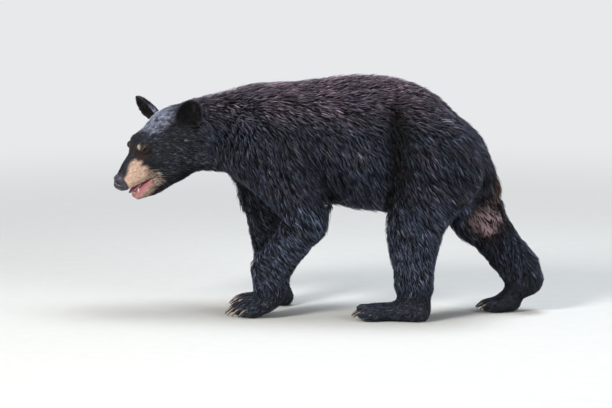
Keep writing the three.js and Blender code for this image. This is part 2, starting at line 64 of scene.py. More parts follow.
# ------------------------------------------------------------------ the head's own axes
HEAD_TURN = (-3.0, 29.0, 218.0)  # roll, pitch and yaw in degrees
EYE_AT = (4, 37, 8)  # of the left eye; the right one mirrors it
EYE_SEAT = (-1, 0, 1.5)  # the eyeball from its node's middle
EYE_RADIUS = 9.5 * MM
MOUTH_CORNER = (4, -74)  # forward and up
UPPER_LIP_RISE = 0.07  # slope of each lip, forward
LOWER_LIP_FALL = 0.12
EARS = {  # centre, the way it stands and the way it faces
    "left_ear": ((-124, 96, 41), (-0.45, 0.42, 0.79), (0.5, 0.82, 0.02)),
    "right_ear": ((-100, -83, 45), (0.12, -0.76, 0.64), (0.94, -0.26, 0.21)),
}
LOWER_CANINE = (62, 13, -88)
TONGUE_AT = (52, 0, -79)


def mm(*values):
    """Millimetres as an array in metres."""
    return np.array(values, dtype=float) * MM


def turned(degrees, axis):
    return Matrix.Rotation(radians(degrees), 3, axis)


HEAD_AXES = np.array(turned(HEAD_TURN[2], "Z") @ turned(HEAD_TURN[1], "Y") @ turned(HEAD_TURN[0], "X"))


def middle(node):
    lo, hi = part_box(node)
    return (np.array(lo) + np.array(hi)) / 2


HEAD_ORIGIN = (middle("left_eye") + middle("right_eye")) / 2 - HEAD_AXES @ mm(EYE_AT[0], 0, EYE_AT[2])


def to_head(points):
    """Points in the head's own axes, in millimetres."""
    return (np.asarray(points) - HEAD_ORIGIN) @ HEAD_AXES / MM


def from_head(points):
    """The reverse of to_head."""
    return np.asarray(points, dtype=float) * MM @ HEAD_AXES.T + HEAD_ORIGIN


# ------------------------------------------------------------------ colours
def linear(code):
    """An sRGB hex value as linear red, green and blue."""
    parts = [((code >> shift) & 255) / 255 for shift in (16, 8, 0)]
    return tuple(c / 12.92 if c <= 0.04045 else ((c + 0.055) / 1.055) ** 2.4 for c in parts)


BLACK = linear(0x171A21)  # guard hair, a cold black
SLATE_SHEEN = linear(0x232832)  # painted sheen: the legs and low body lighter and bluer, for the sheen that shorter hair shows
PLUM_TINT_AND_SHEEN = linear(0x3B3036)  # purple-brown: painted sheen along the top of the back, and the hair's faint tint in random blotches
UMBER = linear(0x211614)  # rusty wool that shows where the coat parts
ASH = linear(0x2C2D33)  # cheeks and temples
CROWN_SHEEN = linear(0xB0B6D0)  # painted sheen: the crown pale blue-grey, for the shine of short hair lying flat
TAN = linear(0xDCBBA5)  # short hair on the muzzle
SAND = linear(0xBBA487)  # the spot over the eye
SEPIA = linear(0x3A2620)  # hair round the eye and along the bridge
BARE = linear(0xA88C8E)  # bare skin behind the right knee
SMOKE = linear(0x57484A)  # the thin hair on that patch
TAILWOOL = linear(0x33261F)
LIP = linear(0xC07A80)
GUM = linear(0x5A2A2E)

# ------------------------------------------------------------------ the coat, part by part
# Millimetres. depth is how far the skin lies inside the solids, loft how high the hair stands off the skin,
# length and width are one tuft's, gap is the spacing of the roots; lie is the way the hair runs, and calm how
# much the skin is smoothed.
COAT = {
    "trunk": dict(depth=13, loft=15, length=33, width=2.6, gap=3.5, lie=(1, 0, -0.5), calm=1.0),
    "neck": dict(depth=13, loft=15, length=33, width=2.5, gap=3.3, lie=(1, 0, -0.6), calm=1.0),
    "head": dict(depth=4.5, loft=5, length=11, width=1.3, gap=2.1, lie=(1, 0, -0.1), calm=0.2),
    "lower_jaw": dict(depth=3, loft=4, length=10, width=1.2, gap=2.1, lie=(1, 0, -0.3), calm=0.16),
    "ear": dict(depth=3.2, loft=3.4, length=9, width=1.1, gap=1.9, lie=(0.3, 0, 1), calm=0.12),
    "tail": dict(depth=7, loft=13, length=30, width=2.3, gap=2.9, lie=(0.35, 0, -1), calm=0.3),
    "upper_arm": dict(depth=11, loft=13, length=30, width=2.5, gap=3.4, lie=(0.55, 0, -1), calm=1.0),
    "forearm": dict(depth=4.5, loft=8, length=23, width=2.2, gap=3.1, lie=(0.8, 0, -0.8), calm=0.6),
    "paw": dict(depth=2.6, loft=3.4, length=9, width=1.5, gap=2.5, lie=(-0.7, 0, -0.7), calm=0.02),
    "thigh": dict(depth=12, loft=14, length=31, width=2.5, gap=3.5, lie=(0.75, 0, -1), calm=1.0),
    "shank": dict(depth=4.5, loft=8, length=23, width=2.2, gap=3.1, lie=(0.4, 0, -1), calm=0.6),
    "foot": dict(depth=2.6, loft=3.4, length=9, width=1.5, gap=2.5, lie=(-0.8, 0, -0.6), calm=0.02),
}
SPREAD = ("depth", "loft", "length", "width", "gap")
CREASES = (  # side, points (x, z) of its line, half breadth, hollow, and the share of colour left in it as painted shade; millimetres
    (-1, ((171, 549), (181, 475), (189, 410), (178, 304)), 25, 13, 0.13),  # before the left thigh
    (-1, ((196, 510), (202, 440), (204, 395)), 36, 4, 0.4),
    (1, ((185, 540), (205, 470), (222, 400), (225, 320)), 20, 11, 0.3),
    (-1, ((-128, 276), (-75, 236)), 11, 9, 0.25),  # inside the left elbow
    (-1, ((-14, 420), (-2, 380), (20, 314)), 14, 10, 0.3),  # behind the left arm
    (1, ((-85, 420), (-95, 400), (-118, 318)), 14, 7, 0.5),
    (-1, ((412, 408), (418, 317)), 11, 10, 0.15),  # beside the tail
    (1, ((414, 405), (424, 320)), 10, 7, 0.4),
)
SWELLS = (  # centre, reach and push of a soft change of form; millimetres
    ((-190, -94, 160), 38, (-10, 0, 0)),  # front of the left forearm
    ((172, -94, 181), 38, (-10, 0, 0)),  # front of the left shank
    ((-256, 94, 293), 45, (-9, 0, 0)),  # front of the right forearm
    ((412, 94, 118), 32, (-8, 0, -3)),  # front of the right shank
    ((80, 0, 255), 80, (0, 0, -3)),  # belly
    ((20, -95, 300), 36, (0, 0, 15)),  # behind the left elbow
    ((176, -105, 292), 36, (15, 0, 10)),  # top of the left knee
    ((-136, -92, 8), 26, (0, 0, 9)),  # heel of the left forepaw
    ((90, -100, 32), 26, (-3, 0, 10)),  # toes of the left hind foot
    ((304, -100, 197), 35, (-8, 0, 0)),  # back of the left shank
)
SKIN_CELL = 4.5 * MM  # mesh width of the skin
SKIN_ROUNDS = 150  # smoothing rounds where calm is 1
SPREAD_ROUNDS = 24  # for blending the coat's values from part to part
SEED = 7


def coat_of(node):
    """The coat's values for a node: left_forearm and right_forearm share forearm's."""
    for key in (node, node.split("_", 1)[-1]):
        if key in COAT:
            return COAT[key]
    raise RuntimeError(f"no coat is given for {node}")


FLESH = [row["node"] for row in frame["record"]["subparts"] if row["material_slot"] == "coat"]


# ------------------------------------------------------------------ small helpers
def smooth_step(value, low, high):
    """0 below low, 1 above high and a soft curve between; low may be above high."""
    t = np.clip((np.asarray(value, dtype=float) - low) / (high - low), 0, 1)
    return t * t * (3 - 2 * t)


def unit(vectors):
    return vectors / np.maximum(np.linalg.norm(vectors, axis=-1, keepdims=True), 1e-9)


def rows(values):
    return np.asarray(values, dtype=float)[:, None]


def read(collection, name, width):
    data = np.empty(len(collection) * width)
    collection.foreach_get(name, data)
    return data.reshape(-1, width) if width > 1 else data


def points_of(mesh):
    return read(mesh.vertices, "co", 3)


def normals_of(mesh):
    return read(mesh.vertex_normals, "vector", 3)


def move_points(mesh, points):
    mesh.vertices.foreach_set("co", points.ravel())
    mesh.update()


def ends_of(mesh):
    pairs = np.empty(len(mesh.edges) * 2, dtype=np.int64)
    mesh.edges.foreach_get("vertices", pairs)
    return pairs.reshape(-1, 2)


def keep_values(mesh, name, kind, values):
    """Stores one value for each vertex under a name."""
    old = mesh.attributes.get(name)
    if old:
        mesh.attributes.remove(old)
    field = {"FLOAT": "value", "FLOAT_VECTOR": "vector", "FLOAT_COLOR": "color", "INT": "value"}[kind]
    mesh.attributes.new(name, kind, "POINT").data.foreach_set(field, np.asarray(values).ravel())


def kept(mesh, name, field, width):
    return read(mesh.attributes[name].data, field, width)


def with_alpha(colours):
    return np.hstack([colours, np.ones((len(colours), 1))])


def blend_in(colours, colour, share):
    """Mixes one colour into rows of colours."""
    share = rows(share)
    return colours * (1 - share) + np.array(colour) * share


def deselect():
    if bpy.context.object and bpy.context.object.mode != "OBJECT":
        bpy.ops.object.mode_set(mode="OBJECT")
    bpy.ops.object.select_all(action="DESELECT")


def select_only(obj):
    deselect()
    obj.select_set(True)
    bpy.context.view_layer.objects.active = obj


def new_object(name, mesh):
    obj = bpy.data.objects.new(name, mesh)
    bpy.context.scene.collection.objects.link(obj)
    return obj


def apply_modifier(obj, kind, **settings):
    select_only(obj)
    modifier = obj.modifiers.new(kind.title(), kind)
    for key, value in settings.items():
        setattr(modifier, key, value)
    bpy.ops.object.modifier_apply(modifier=modifier.name)


def dress(obj, material, slot, *nodes):
    """Gives a piece its finish, its body and the nodes that it stands for."""
    obj.data.materials.clear()
    obj.data.materials.append(material)
    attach(obj, "root")
    if nodes:
        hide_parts(*nodes)


class Neighbours:
    """Means over each vertex's neighbours along the mesh's edges."""

    def __init__(self, mesh):
        self.a, self.b = ends_of(mesh).T
        self.size = len(mesh.vertices)
        self.count = np.maximum(self.gather(np.ones(self.size)), 1)

    def gather(self, values):
        ahead = np.bincount(self.a, weights=values[self.b], minlength=self.size)
        return ahead + np.bincount(self.b, weights=values[self.a], minlength=self.size)

    def mean(self, values):
        if values.ndim == 1:
            return self.gather(values) / self.count
        return np.stack([self.gather(column) for column in values.T], axis=1) / self.count[:, None]


# ------------------------------------------------------------------ materials
def add_node(tree, kind, settings=None, **inputs):
    """Adds a node; an input is a value, or the output of another node."""
    node = tree.nodes.new(kind)
    for key, value in (settings or {}).items():
        setattr(node, key, value)
    for key, value in inputs.items():
        name = key.replace("_", " ")
        numbered = key.startswith("in") and key[2:].isdigit()
        socket = node.inputs[int(key[2:]) if numbered else name]
        if isinstance(value, bpy.types.NodeSocket):
            tree.links.new(value, socket)
        else:
            socket.default_value = value
    return node


def new_material(name):
    """An empty material, its tree and the shader that its surface shows."""
    material = bpy.data.materials.new(name)
    material.use_nodes = True
    tree = material.node_tree
    tree.nodes.clear()
    shader = tree.nodes.new("ShaderNodeBsdfPrincipled")
    output = tree.nodes.new("ShaderNodeOutputMaterial")
    tree.links.new(shader.outputs["BSDF"], output.inputs["Surface"])
    return material, tree, shader


def set_shader(shader, **values):
    for key, value in values.items():
        shader.inputs[key.replace("_", " ")].default_value = value


def coordinates(tree):
    return tree.nodes.new("ShaderNodeTexCoord").outputs["Object"]


def noise(tree, size, detail=3.0, roughness=0.5):
    """Noise whose features are `size` millimetres across."""
    return add_node(
        tree,
        "ShaderNodeTexNoise",
        Vector=coordinates(tree),
        Scale=1 / (size * MM),
        Detail=detail,
        Roughness=roughness,
    ).outputs["Fac"]


def bump(tree, shader, height, depth, strength=1.0):
    """Raises the surface by up to `depth` millimetres."""
    relief = add_node(tree, "ShaderNodeBump", Strength=strength, Distance=depth * MM, Height=height)
    tree.links.new(relief.outputs["Normal"], shader.inputs["Normal"])


def ranged(tree, value, low, high):
    """Spreads the middle of a noise over low to high."""
    return add_node(
        tree, "ShaderNodeMapRange", Value=value, From_Min=0.3, From_Max=0.7, To_Min=low, To_Max=high
    ).outputs["Result"]


def hair_material():
    """Bear guard hair: round, oily and smooth, so it is black with a cold sheen along its length."""
    material, tree, shader = new_material("black_guard_hair")
    colour = add_node(tree, "ShaderNodeVertexColor", {"layer_name": "markings"})
    tree.links.new(colour.outputs["Color"], shader.inputs["Base Color"])
    set_shader(shader, Roughness=0.38, IOR=1.3)
    return material


def skin_material():
    """Skin under short flat hair: fine relief of hairs that are too small to be tufts."""
    material, tree, shader = new_material("short_haired_skin")
    colour = add_node(tree, "ShaderNodeVertexColor", {"layer_name": "markings"})
    tree.links.new(colour.outputs["Color"], shader.inputs["Base Color"])
    set_shader(shader, Roughness=0.6, IOR=1.38)
    bump(tree, shader, noise(tree, 1.6, 4), 0.6)
    return material


def leather_material():
    """Nose leather: bare pebbled skin, kept damp, so it has soft broken highlights."""
    material, tree, shader = new_material("moist_nose_leather")
    pebbles = add_node(
        tree, "ShaderNodeTexVoronoi", {"feature": "F1"}, Vector=coordinates(tree), Scale=1 / (1.5 * MM)
    ).outputs["Distance"]
    tone = add_node(tree, "ShaderNodeValToRGB", Fac=noise(tree, 9))
    tone.color_ramp.elements[0].position = 0.35
    tone.color_ramp.elements[0].color = (*linear(0x19151B), 1)
    tone.color_ramp.elements[1].position = 0.7
    tone.color_ramp.elements[1].color = (*linear(0x3B3445), 1)
    tree.links.new(tone.outputs["Color"], shader.inputs["Base Color"])
    tree.links.new(ranged(tree, noise(tree, 3), 0.3, 0.5), shader.inputs["Roughness"])
    set_shader(shader, Specular_IOR_Level=0.5, Coat_Weight=0.18, Coat_Roughness=0.3)
    bump(tree, shader, pebbles, 0.35, 0.8)
    return material


def tongue_material():
    """Tongue and gums: wet mucous membrane over blood, pink with a fine rough grain."""
    material, tree, shader = new_material("wet_tongue")
    tone = add_node(tree, "ShaderNodeValToRGB", Fac=noise(tree, 7))
    tone.color_ramp.elements[0].position = 0.3
    tone.color_ramp.elements[0].color = (*linear(0xA8566A), 1)
    tone.color_ramp.elements[1].position = 0.75
    tone.color_ramp.elements[1].color = (*linear(0xCF8496), 1)
    tree.links.new(tone.outputs["Color"], shader.inputs["Base Color"])
    set_shader(shader, Roughness=0.35, Subsurface_Weight=0.15, Subsurface_Scale=0.004)
    set_shader(shader, Subsurface_Radius=(1.0, 0.35, 0.2), Coat_Weight=0.5, Coat_Roughness=0.15)
    bump(tree, shader, noise(tree, 1.1, 2), 0.4)
    return material


def enamel_material():
    """Tooth enamel: glassy ivory, yellower towards the gum."""
    material, tree, shader = new_material("tooth_enamel")
    colour = add_node(tree, "ShaderNodeVertexColor", {"layer_name": "markings"})
    tree.links.new(colour.outputs["Color"], shader.inputs["Base Color"])
    set_shader(shader, Roughness=0.22, IOR=1.62, Subsurface_Weight=0.1, Subsurface_Scale=0.002)
    return material


def horn_material():
    """Claw horn: layered keratin, dark, scuffed by the ground, with a duller grain along its length."""
    material, tree, shader = new_material("claw_horn")
    colour = add_node(tree, "ShaderNodeVertexColor", {"layer_name": "markings"})
    tree.links.new(colour.outputs["Color"], shader.inputs["Base Color"])
    tree.links.new(ranged(tree, noise(tree, 2.5), 0.25, 0.5), shader.inputs["Roughness"])
    set_shader(shader, IOR=1.54, Coat_Weight=0.2, Coat_Roughness=0.25)
    bump(tree, shader, noise(tree, 0.9, 4), 0.15)
    return material


def eye_material():
    """The eyeball: dark brown iris behind a clear wet cornea, so it mirrors the light sharply."""
    material, tree, shader = new_material("wet_brown_eye")
    colour = add_node(tree, "ShaderNodeVertexColor", {"layer_name": "markings"})
    tree.links.new(colour.outputs["Color"], shader.inputs["Base Color"])
    set_shader(shader, Roughness=0.2, IOR=1.38, Specular_IOR_Level=0.05)
    set_shader(shader, Coat_Weight=0.4, Coat_Roughness=0.02, Coat_IOR=1.38)
    return material


def floor_material(colour):
    """Matt studio paper: pale, without gloss. Far off it looks brighter to the eye than it is to the bear."""
    material, tree, shader = new_material("pale_studio_paper")
    grain = ranged(tree, noise(tree, 40), 0.97, 1.0)
    tint = add_node(tree, "ShaderNodeMix", {"data_type": "RGBA", "blend_type": "MULTIPLY"}, Factor=1.0)
    tint.inputs["A"].default_value = (*colour, 1)
    tree.links.new(grain, tint.inputs["B"])
    tree.links.new(tint.outputs["Result"], shader.inputs["Base Color"])
    set_shader(shader, Roughness=0.95, Specular_IOR_Level=0.1)
    away = add_node(tree, "ShaderNodeVectorMath", {"operation": "LENGTH"}, in0=coordinates(tree))
    far = add_node(
        tree,
        "ShaderNodeMapRange",
        {"interpolation_type": "SMOOTHSTEP"},
        Value=away.outputs["Value"],
        From_Min=1.0,
        From_Max=3.4,
    )
    seen = add_node(
        tree, "ShaderNodeMath", {"operation": "MULTIPLY"}, in0=far.outputs["Result"], in1=seen_directly(tree)
    ).outputs["Value"]
    glow = add_node(tree, "ShaderNodeEmission", Color=(*PAPER, 1), Strength=1.0)
    paper, light = shader.outputs["BSDF"], glow.outputs["Emission"]
    mix = add_node(tree, "ShaderNodeMixShader", in0=seen, in1=paper, in2=light)
    output = next(node for node in tree.nodes if node.type == "OUTPUT_MATERIAL")
    tree.links.new(mix.outputs["Shader"], output.inputs["Surface"])
    return material


PAPER = (0.80, 0.815, 0.83)  # how bright the paper looks far from the bear


def seen_directly(tree):
    """1 for what the camera sees straight, in a mirror or through glass."""
    path = tree.nodes.new("ShaderNodeLightPath")
    total = path.outputs["Is Camera Ray"]
    for name in ("Is Glossy Ray", "Is Transmission Ray"):
        total = add_node(
            tree, "ShaderNodeMath", {"operation": "ADD", "use_clamp": True}, in0=total, in1=path.outputs[name]
        ).outputs["Value"]
    return total


# ------------------------------------------------------------------ markings
def wavy(points, size, phase=0.0):
    """A soft blotchy pattern from 0 to 1 whose blotches are about `size` metres across."""
    k = 2 * pi / size
    x, y, z = (np.asarray(points) * k).T
    wave = np.sin(x + 1.7 * np.sin(0.6 * z + phase)) + np.sin(0.9 * z + 1.3 * np.sin(0.7 * y + 2 * phase))
    wave = wave + np.sin(1.1 * y + 1.9 * np.sin(0.5 * x + phase)) + 0.6 * np.sin(2.3 * x + 2.1 * z + y)
    return np.clip(0.5 + wave / 5, 0, 1)


def spot(points, centre, sizes):
    """1 at a centre, falling to 0 over the half sizes of an ellipsoid; both sides of the head alike."""
    x, y, z = points.T
    q = np.stack([x - centre[0], np.abs(y) - centre[1], z - centre[2]], axis=1) / np.array(sizes)
    return 1 - smooth_step(np.linalg.norm(q, axis=1), 0.55, 1.15)


def upper_lip_height(x):
    return MOUTH_CORNER[1] + UPPER_LIP_RISE * (x - MOUTH_CORNER[0])


def lower_lip_height(x):
    return MOUTH_CORNER[1] - LOWER_LIP_FALL * (x - MOUTH_CORNER[0])


def muzzle_share(h):
    """Where the muzzle's hair is tan: its sides, below the bridge, up to the corner of the mouth."""
    x, y, z = h.T
    top = -5 - 0.62 * (x - 39) + 2.5 * np.sin(x / 7)
    rear = 36 + 0.52 * (z + 10)
    ragged = 4 * np.sin(z / 2.3 + np.abs(y) / 3) + 3 * np.sin(z / 5.1 - np.abs(y) / 2)
    below_bridge = smooth_step(z, top + 5, top - 5)
    ahead = smooth_step(x + ragged, rear - 10, rear + 6)
    above_lip = smooth_step(z, upper_lip_height(x) + 0.5, upper_lip_height(x) + 4.5)
    behind_nose = smooth_step(x, 90, 80)
    return below_bridge * ahead * above_lip * behind_nose * smooth_step(x, 112, 104)


def jaw_share(h):
    """Where the lower jaw is tan: below the lip, speckled, darker along its lower edge."""
    x, _, z = h.T
    lip = lower_lip_height(x) - 0.45 * np.clip(x - 15, 0, 50)
    band = smooth_step(z, lip + 1, lip - 3) * smooth_step(z, lip - 26, lip - 14)
    return band * smooth_step(x, -8, 6) * smooth_step(z, -70, -76)


def lip_share(h):
    """The bare pink outer side of the lower lip, widest in front."""
    x, _, z = h.T
    top = lower_lip_height(x)
    bottom = top - 0.45 * np.clip(x - 12, 0, 50)
    band = smooth_step(z, bottom - 1.5, bottom + 1.5) * smooth_step(z, top + 5, top + 1)
    return band * smooth_step(x, 14, 22)


def inside_mouth(h):
    """Between the lips, from the corner forwards."""
    x, _, z = h.T
    within = smooth_step(z, upper_lip_height(x) + 1.2, upper_lip_height(x) - 0.8)
    within = within * smooth_step(z, lower_lip_height(x) - 0.5, lower_lip_height(x) + 1.5)
    return within * smooth_step(x, 6, 12)


def ear_hollow_shade(h):
    """1 inside the cups of the ears, where the hair is thin; the markings darken it there almost to black as
    painted shade of the hollow.
    """
    share = np.zeros(len(h))
    for name in EARS:
        centre, facing, breadth, height = ear_axes(name)
        d = h - centre
        r = np.hypot(d @ breadth / EAR_HALF[0], d @ height / EAR_HALF[1])
        bowl = EAR_CUP * (0.6 * r * r - 0.75)
        share = np.maximum(share, smooth_step(r, 1.02, 0.86) * smooth_step(d @ facing - bowl, -1.5, 1.5))
    return share


def crease_share(points, side, line, half):
    """1 along a crease of the body, falling off beyond its half breadth."""
    place = points[:, [0, 2]] / MM
    away = np.full(len(points), 1e9)
    for start, end in zip(np.array(line[:-1], dtype=float), np.array(line[1:], dtype=float)):
        along = np.clip((place - start) @ (end - start) / np.sum((end - start) ** 2), 0, 1)
        away = np.minimum(away, np.linalg.norm(place - start - rows(along) * (end - start), axis=1))
    return np.exp(-((away / half) ** 2)) * smooth_step(points[:, 1] * side, 15 * MM, 55 * MM)


def reform(points, normals):
    """Presses the creases into the skin and swells it where the solids are too lean."""
    moved = points.copy()
    for side, line, half, hollow, _ in CREASES:
        moved -= normals * rows(crease_share(points, side, line, half) * hollow * MM)
    for centre, reach, push in SWELLS:
        near = np.exp(-np.sum((points - mm(*centre)) ** 2, axis=1) / (reach * MM) ** 2)
        facing = np.abs(normals @ unit(np.array(push, dtype=float)))
        moved += rows(near * smooth_step(facing, 0, 0.7)) * mm(*push)
    return moved


def crown_share(h):
    """1 on the forehead and crown, where the hair is short and lies flat."""
    x, y, z = h.T
    clear = np.maximum(smooth_step(z, 66, 56), smooth_step(np.abs(y), 36, 26))
    on_top = smooth_step(z, 14, 50) * clear * smooth_step(x, -130, -95) * smooth_step(x, -8, -46)
    return on_top * smooth_step(np.abs(y), 60, 34)


def cheek_share(h):
    """1 on the cheek and temple, whose hair is a little greyer."""
    x, y, z = h.T
    ends = smooth_step(x, -125, -95) * smooth_step(x, 20, -10)
    return ends * smooth_step(np.abs(y), 22, 38) * smooth_step(z, -105, -80) * smooth_step(z, 30, 10)


def markings(points):
    """The animal's colours, with painted sheen and painted shade laid in, at places on or over its skin, as
    rows of linear red, green and blue.
    """
    points = np.asarray(points, dtype=float)
    colours = np.tile(np.array(BLACK), (len(points), 1))
    x, y, z = points.T
    # painted sheen: the legs and low body blended towards a lighter, bluer black
    colours = blend_in(colours, SLATE_SHEEN, smooth_step(z, 0.36, 0.22))
    # painted sheen: purple-brown laid along the top of the back, where the light falls on it
    back = smooth_step(z, 0.47, 0.59) * (0.35 + 0.65 * wavy(points, 0.16))
    colours = blend_in(colours, PLUM_TINT_AND_SHEEN, 0.85 * back)
    colours = blend_in(colours, PLUM_TINT_AND_SHEEN, 0.12 * smooth_step(wavy(points, 0.09, 2.0), 0.4, 0.8))
    rust = np.linalg.norm((points - mm(205, -135, 395)) / mm(22, 40, 30), axis=1)
    colours = blend_in(colours, UMBER, 0.8 * smooth_step(rust, 1.1, 0.5))
    low_back = smooth_step(z, 0.42, 0.39) * smooth_step(z, 0.27, 0.3)
    # painted shade: a dark line in the gap between the buttock and the tail
    tail_gap_shade = np.exp(-(((np.abs(y) - 0.034) / 0.014) ** 2)) * smooth_step(x, 0.39, 0.405) * low_back
    colours = colours * rows(1 - 0.85 * tail_gap_shade)
    on_tail = 0.8 * smooth_step(x, 0.412, 0.43) * low_back * smooth_step(np.abs(y), 0.03, 0.02)
    colours = blend_in(colours, TAILWOOL, on_tail)
    # painted shade: each crease keeps only its tone of the colour, darkest before the left thigh and beside
    # the tail
    for side, line, half, _, tone in CREASES:
        colours = colours * rows(1 - (1 - tone) * crease_share(points, side, line, half))
    h = to_head(points)
    near_head = smooth_step(np.linalg.norm(h - np.array([0, 0, -40]), axis=1), 190, 150)
    # painted shade: the cups of the ears darkened almost to black
    colours = colours * rows(1 - 0.92 * ear_hollow_shade(h))
    # painted sheen on the crown, broken into streaks
    crown = crown_share(h) * (0.2 + 0.8 * smooth_step(wavy(points, 0.017), 0.25, 0.6))
    colours = blend_in(colours, ASH, 0.9 * near_head * cheek_share(h))
    colours = blend_in(colours, CROWN_SHEEN, 0.9 * near_head * crown)
    colours = blend_in(colours, SEPIA, 0.75 * near_head * spot(h, (16, 27, -6), (26, 18, 17)))
    colours = blend_in(colours, SEPIA, 0.5 * near_head * spot(h, (22, 10, 12), (24, 7, 16)))
    colours = blend_in(colours, SEPIA, 0.6 * near_head * spot(h, (1, 38, 8), (15, 16, 13)))
    tan = muzzle_share(h) * near_head
    colours = blend_in(colours, TAN, tan * (0.86 + 0.14 * wavy(points, 0.006)))
    over_eye = spot(h, (11.5, 26, 18), (5.5, 5.5, 10.5)) * np.where(h[:, 1] > 0, 0.85, 0.35)
    colours = blend_in(colours, SAND, near_head * over_eye)
    speckle = 0.45 + 0.55 * smooth_step(wavy(points, 0.0045, 1.0), 0.3, 0.7)
    colours = blend_in(colours, TAN, 0.7 * near_head * jaw_share(h) * speckle)
    return blend_in(colours, SMOKE, bare_share(points))


def bare_share(points):
    """1 on the bare patch behind the right knee, 0 where the coat is whole; its edge is ragged."""
    away = np.linalg.norm((points - BARE_PATCH) / BARE_SIZE, axis=1)
    return smooth_step(away + 0.3 * (wavy(points, 0.03) - 0.5), 1.3, 0.7)


def middle_of(node, share):
    lo, hi = (np.array(corner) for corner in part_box(node))
    return lo + (hi - lo) * np.array(share)


BARE_PATCH = middle_of("right_shank", (0.32, 0.12, 0.82))
BARE_SIZE = mm(50, 44, 50)


# ------------------------------------------------------------------ the skin
def joined_flesh():
    """One mesh object of all the flesh nodes, each a little larger, so that neighbours overlap."""
    copies = []
    for name in [*FLESH, "nose"]:
        if name in EARS:
            continue
        copies.append(new_object(name + "_copy", frame["nodes"][name].data.copy()))
    deselect()
    for copy in copies:
        copy.select_set(True)
    bpy.context.view_layer.objects.active = copies[0]
    bpy.ops.object.join()
    skin = copies[0]
    skin.name = "skin"
    bpy.ops.object.mode_set(mode="EDIT")
    bpy.ops.mesh.select_all(action="SELECT")
    bpy.ops.mesh.remove_doubles(threshold=1e-5)
    bpy.ops.object.mode_set(mode="OBJECT")
    apply_modifier(skin, "DISPLACE", strength=0.5 * MM, mid_level=0)
    return skin


def part_finder():
    """A search tree of the solids' faces without the ears, and each face's number in FLESH."""
    corners = []
    faces = []
    owners = []
    for number, name in enumerate(FLESH):
        if name in EARS:
            continue
        mesh = frame["nodes"][name].data
        start = len(corners)
        corners.extend(v.co.copy() for v in mesh.vertices)
        for polygon in mesh.polygons:
            faces.append([start + i for i in polygon.vertices])
            owners.append(number)
    return BVHTree.FromPolygons(corners, faces), np.array(owners)


def nearest_parts(points):
    tree, owners = part_finder()
    return owners[[tree.find_nearest(Vector(p))[2] for p in points]]


def calm_skin(mesh, strength):
    """Smooths the mesh without shrinking it, the more where strength is nearer 1."""
    around = Neighbours(mesh)
    points = points_of(mesh)
    for turn in range(SKIN_ROUNDS):
        active = rows(strength > turn / SKIN_ROUNDS)
        for pull in (0.5, -0.52):
            points = points + active * pull * (around.mean(points) - points)
    move_points(mesh, points)


def finer(obj, wanted, cuts=1):
    """Subdivides the faces whose vertices are wanted, given as a test on places in the head's own axes."""
    mesh = obj.data
    chosen = wanted(to_head(points_of(mesh)))
    select_only(obj)
    corners = np.empty(len(mesh.loops), dtype=np.int64)
    mesh.loops.foreach_get("vertex_index", corners)
    totals = read(mesh.polygons, "loop_total", 1).astype(np.int64)
    hit = np.add.reduceat(chosen[corners].astype(int), np.r_[0, np.cumsum(totals)[:-1]]) == totals
    mesh.vertices.foreach_set("select", np.zeros(len(mesh.vertices), dtype=bool))
    mesh.edges.foreach_set("select", np.zeros(len(mesh.edges), dtype=bool))
    mesh.polygons.foreach_set("select", hit)
    bpy.ops.object.mode_set(mode="EDIT")
    bpy.ops.mesh.select_mode(type="FACE")
    bpy.ops.mesh.subdivide(number_cuts=cuts, smoothness=0.6)
    bpy.ops.object.mode_set(mode="OBJECT")


def eye_centre(side):
    return np.array([EYE_AT[0] + EYE_SEAT[0], side * EYE_AT[1], EYE_AT[2] + EYE_SEAT[2]], dtype=float)


def eye_axes(side):
    """The eye's gaze, the way of its slit from the inner corner back, and up across it, on the head."""
    gaze = unit(np.array([0.30, side * 0.92, 0.24]))
    back = np.array([-1.0, 0.0, 0.22])
    back = unit(back - gaze * back.dot(gaze))
    up = np.cross(back, gaze) * -side
    return gaze, back, up if up[2] > 0 else -up


def near_eye(side, reach):
    """A test for the skin over an eye, out to the reach in millimetres from the middle of its gaze."""
    gaze, back, up = eye_axes(side)

    def test(h):
        d = h - eye_centre(side)
        return (np.hypot(d @ back, d @ up) < reach) & (d @ gaze > -14) & (np.linalg.norm(d, axis=1) < 36)

    return test


def muzzle_at(h):
    """The muzzle from the eyes forward, but not the eyes, whose mesh is made finer on its own."""
    off_eyes = np.linalg.norm(h * [1, 0, 1] + rows(np.abs(h[:, 1])) * [0, 1, 0] - eye_centre(1), axis=1) > 19
    return off_eyes & (h[:, 0] > 4) & (h[:, 2] > -120) & (np.abs(h[:, 1]) < 60)


SLIT_HALF = 8.0  # millimetres
LID_TOP = 4.0
LID_BOTTOM = 3.3


def slit_gap(along, across):
    """Distance outside the almond of the open eye; negative within it."""
    reach = np.clip(1 - (along / SLIT_HALF) ** 2, 0, 1)
    edge = np.where(across > 0, LID_TOP, LID_BOTTOM) * reach**0.8
    beyond = np.maximum(np.abs(along) - SLIT_HALF, 0)
    return np.hypot(beyond, np.maximum(np.abs(across) - edge, 0)) - np.where(
        (np.abs(across) < edge), np.minimum(edge - np.abs(across), 3), 0
    )


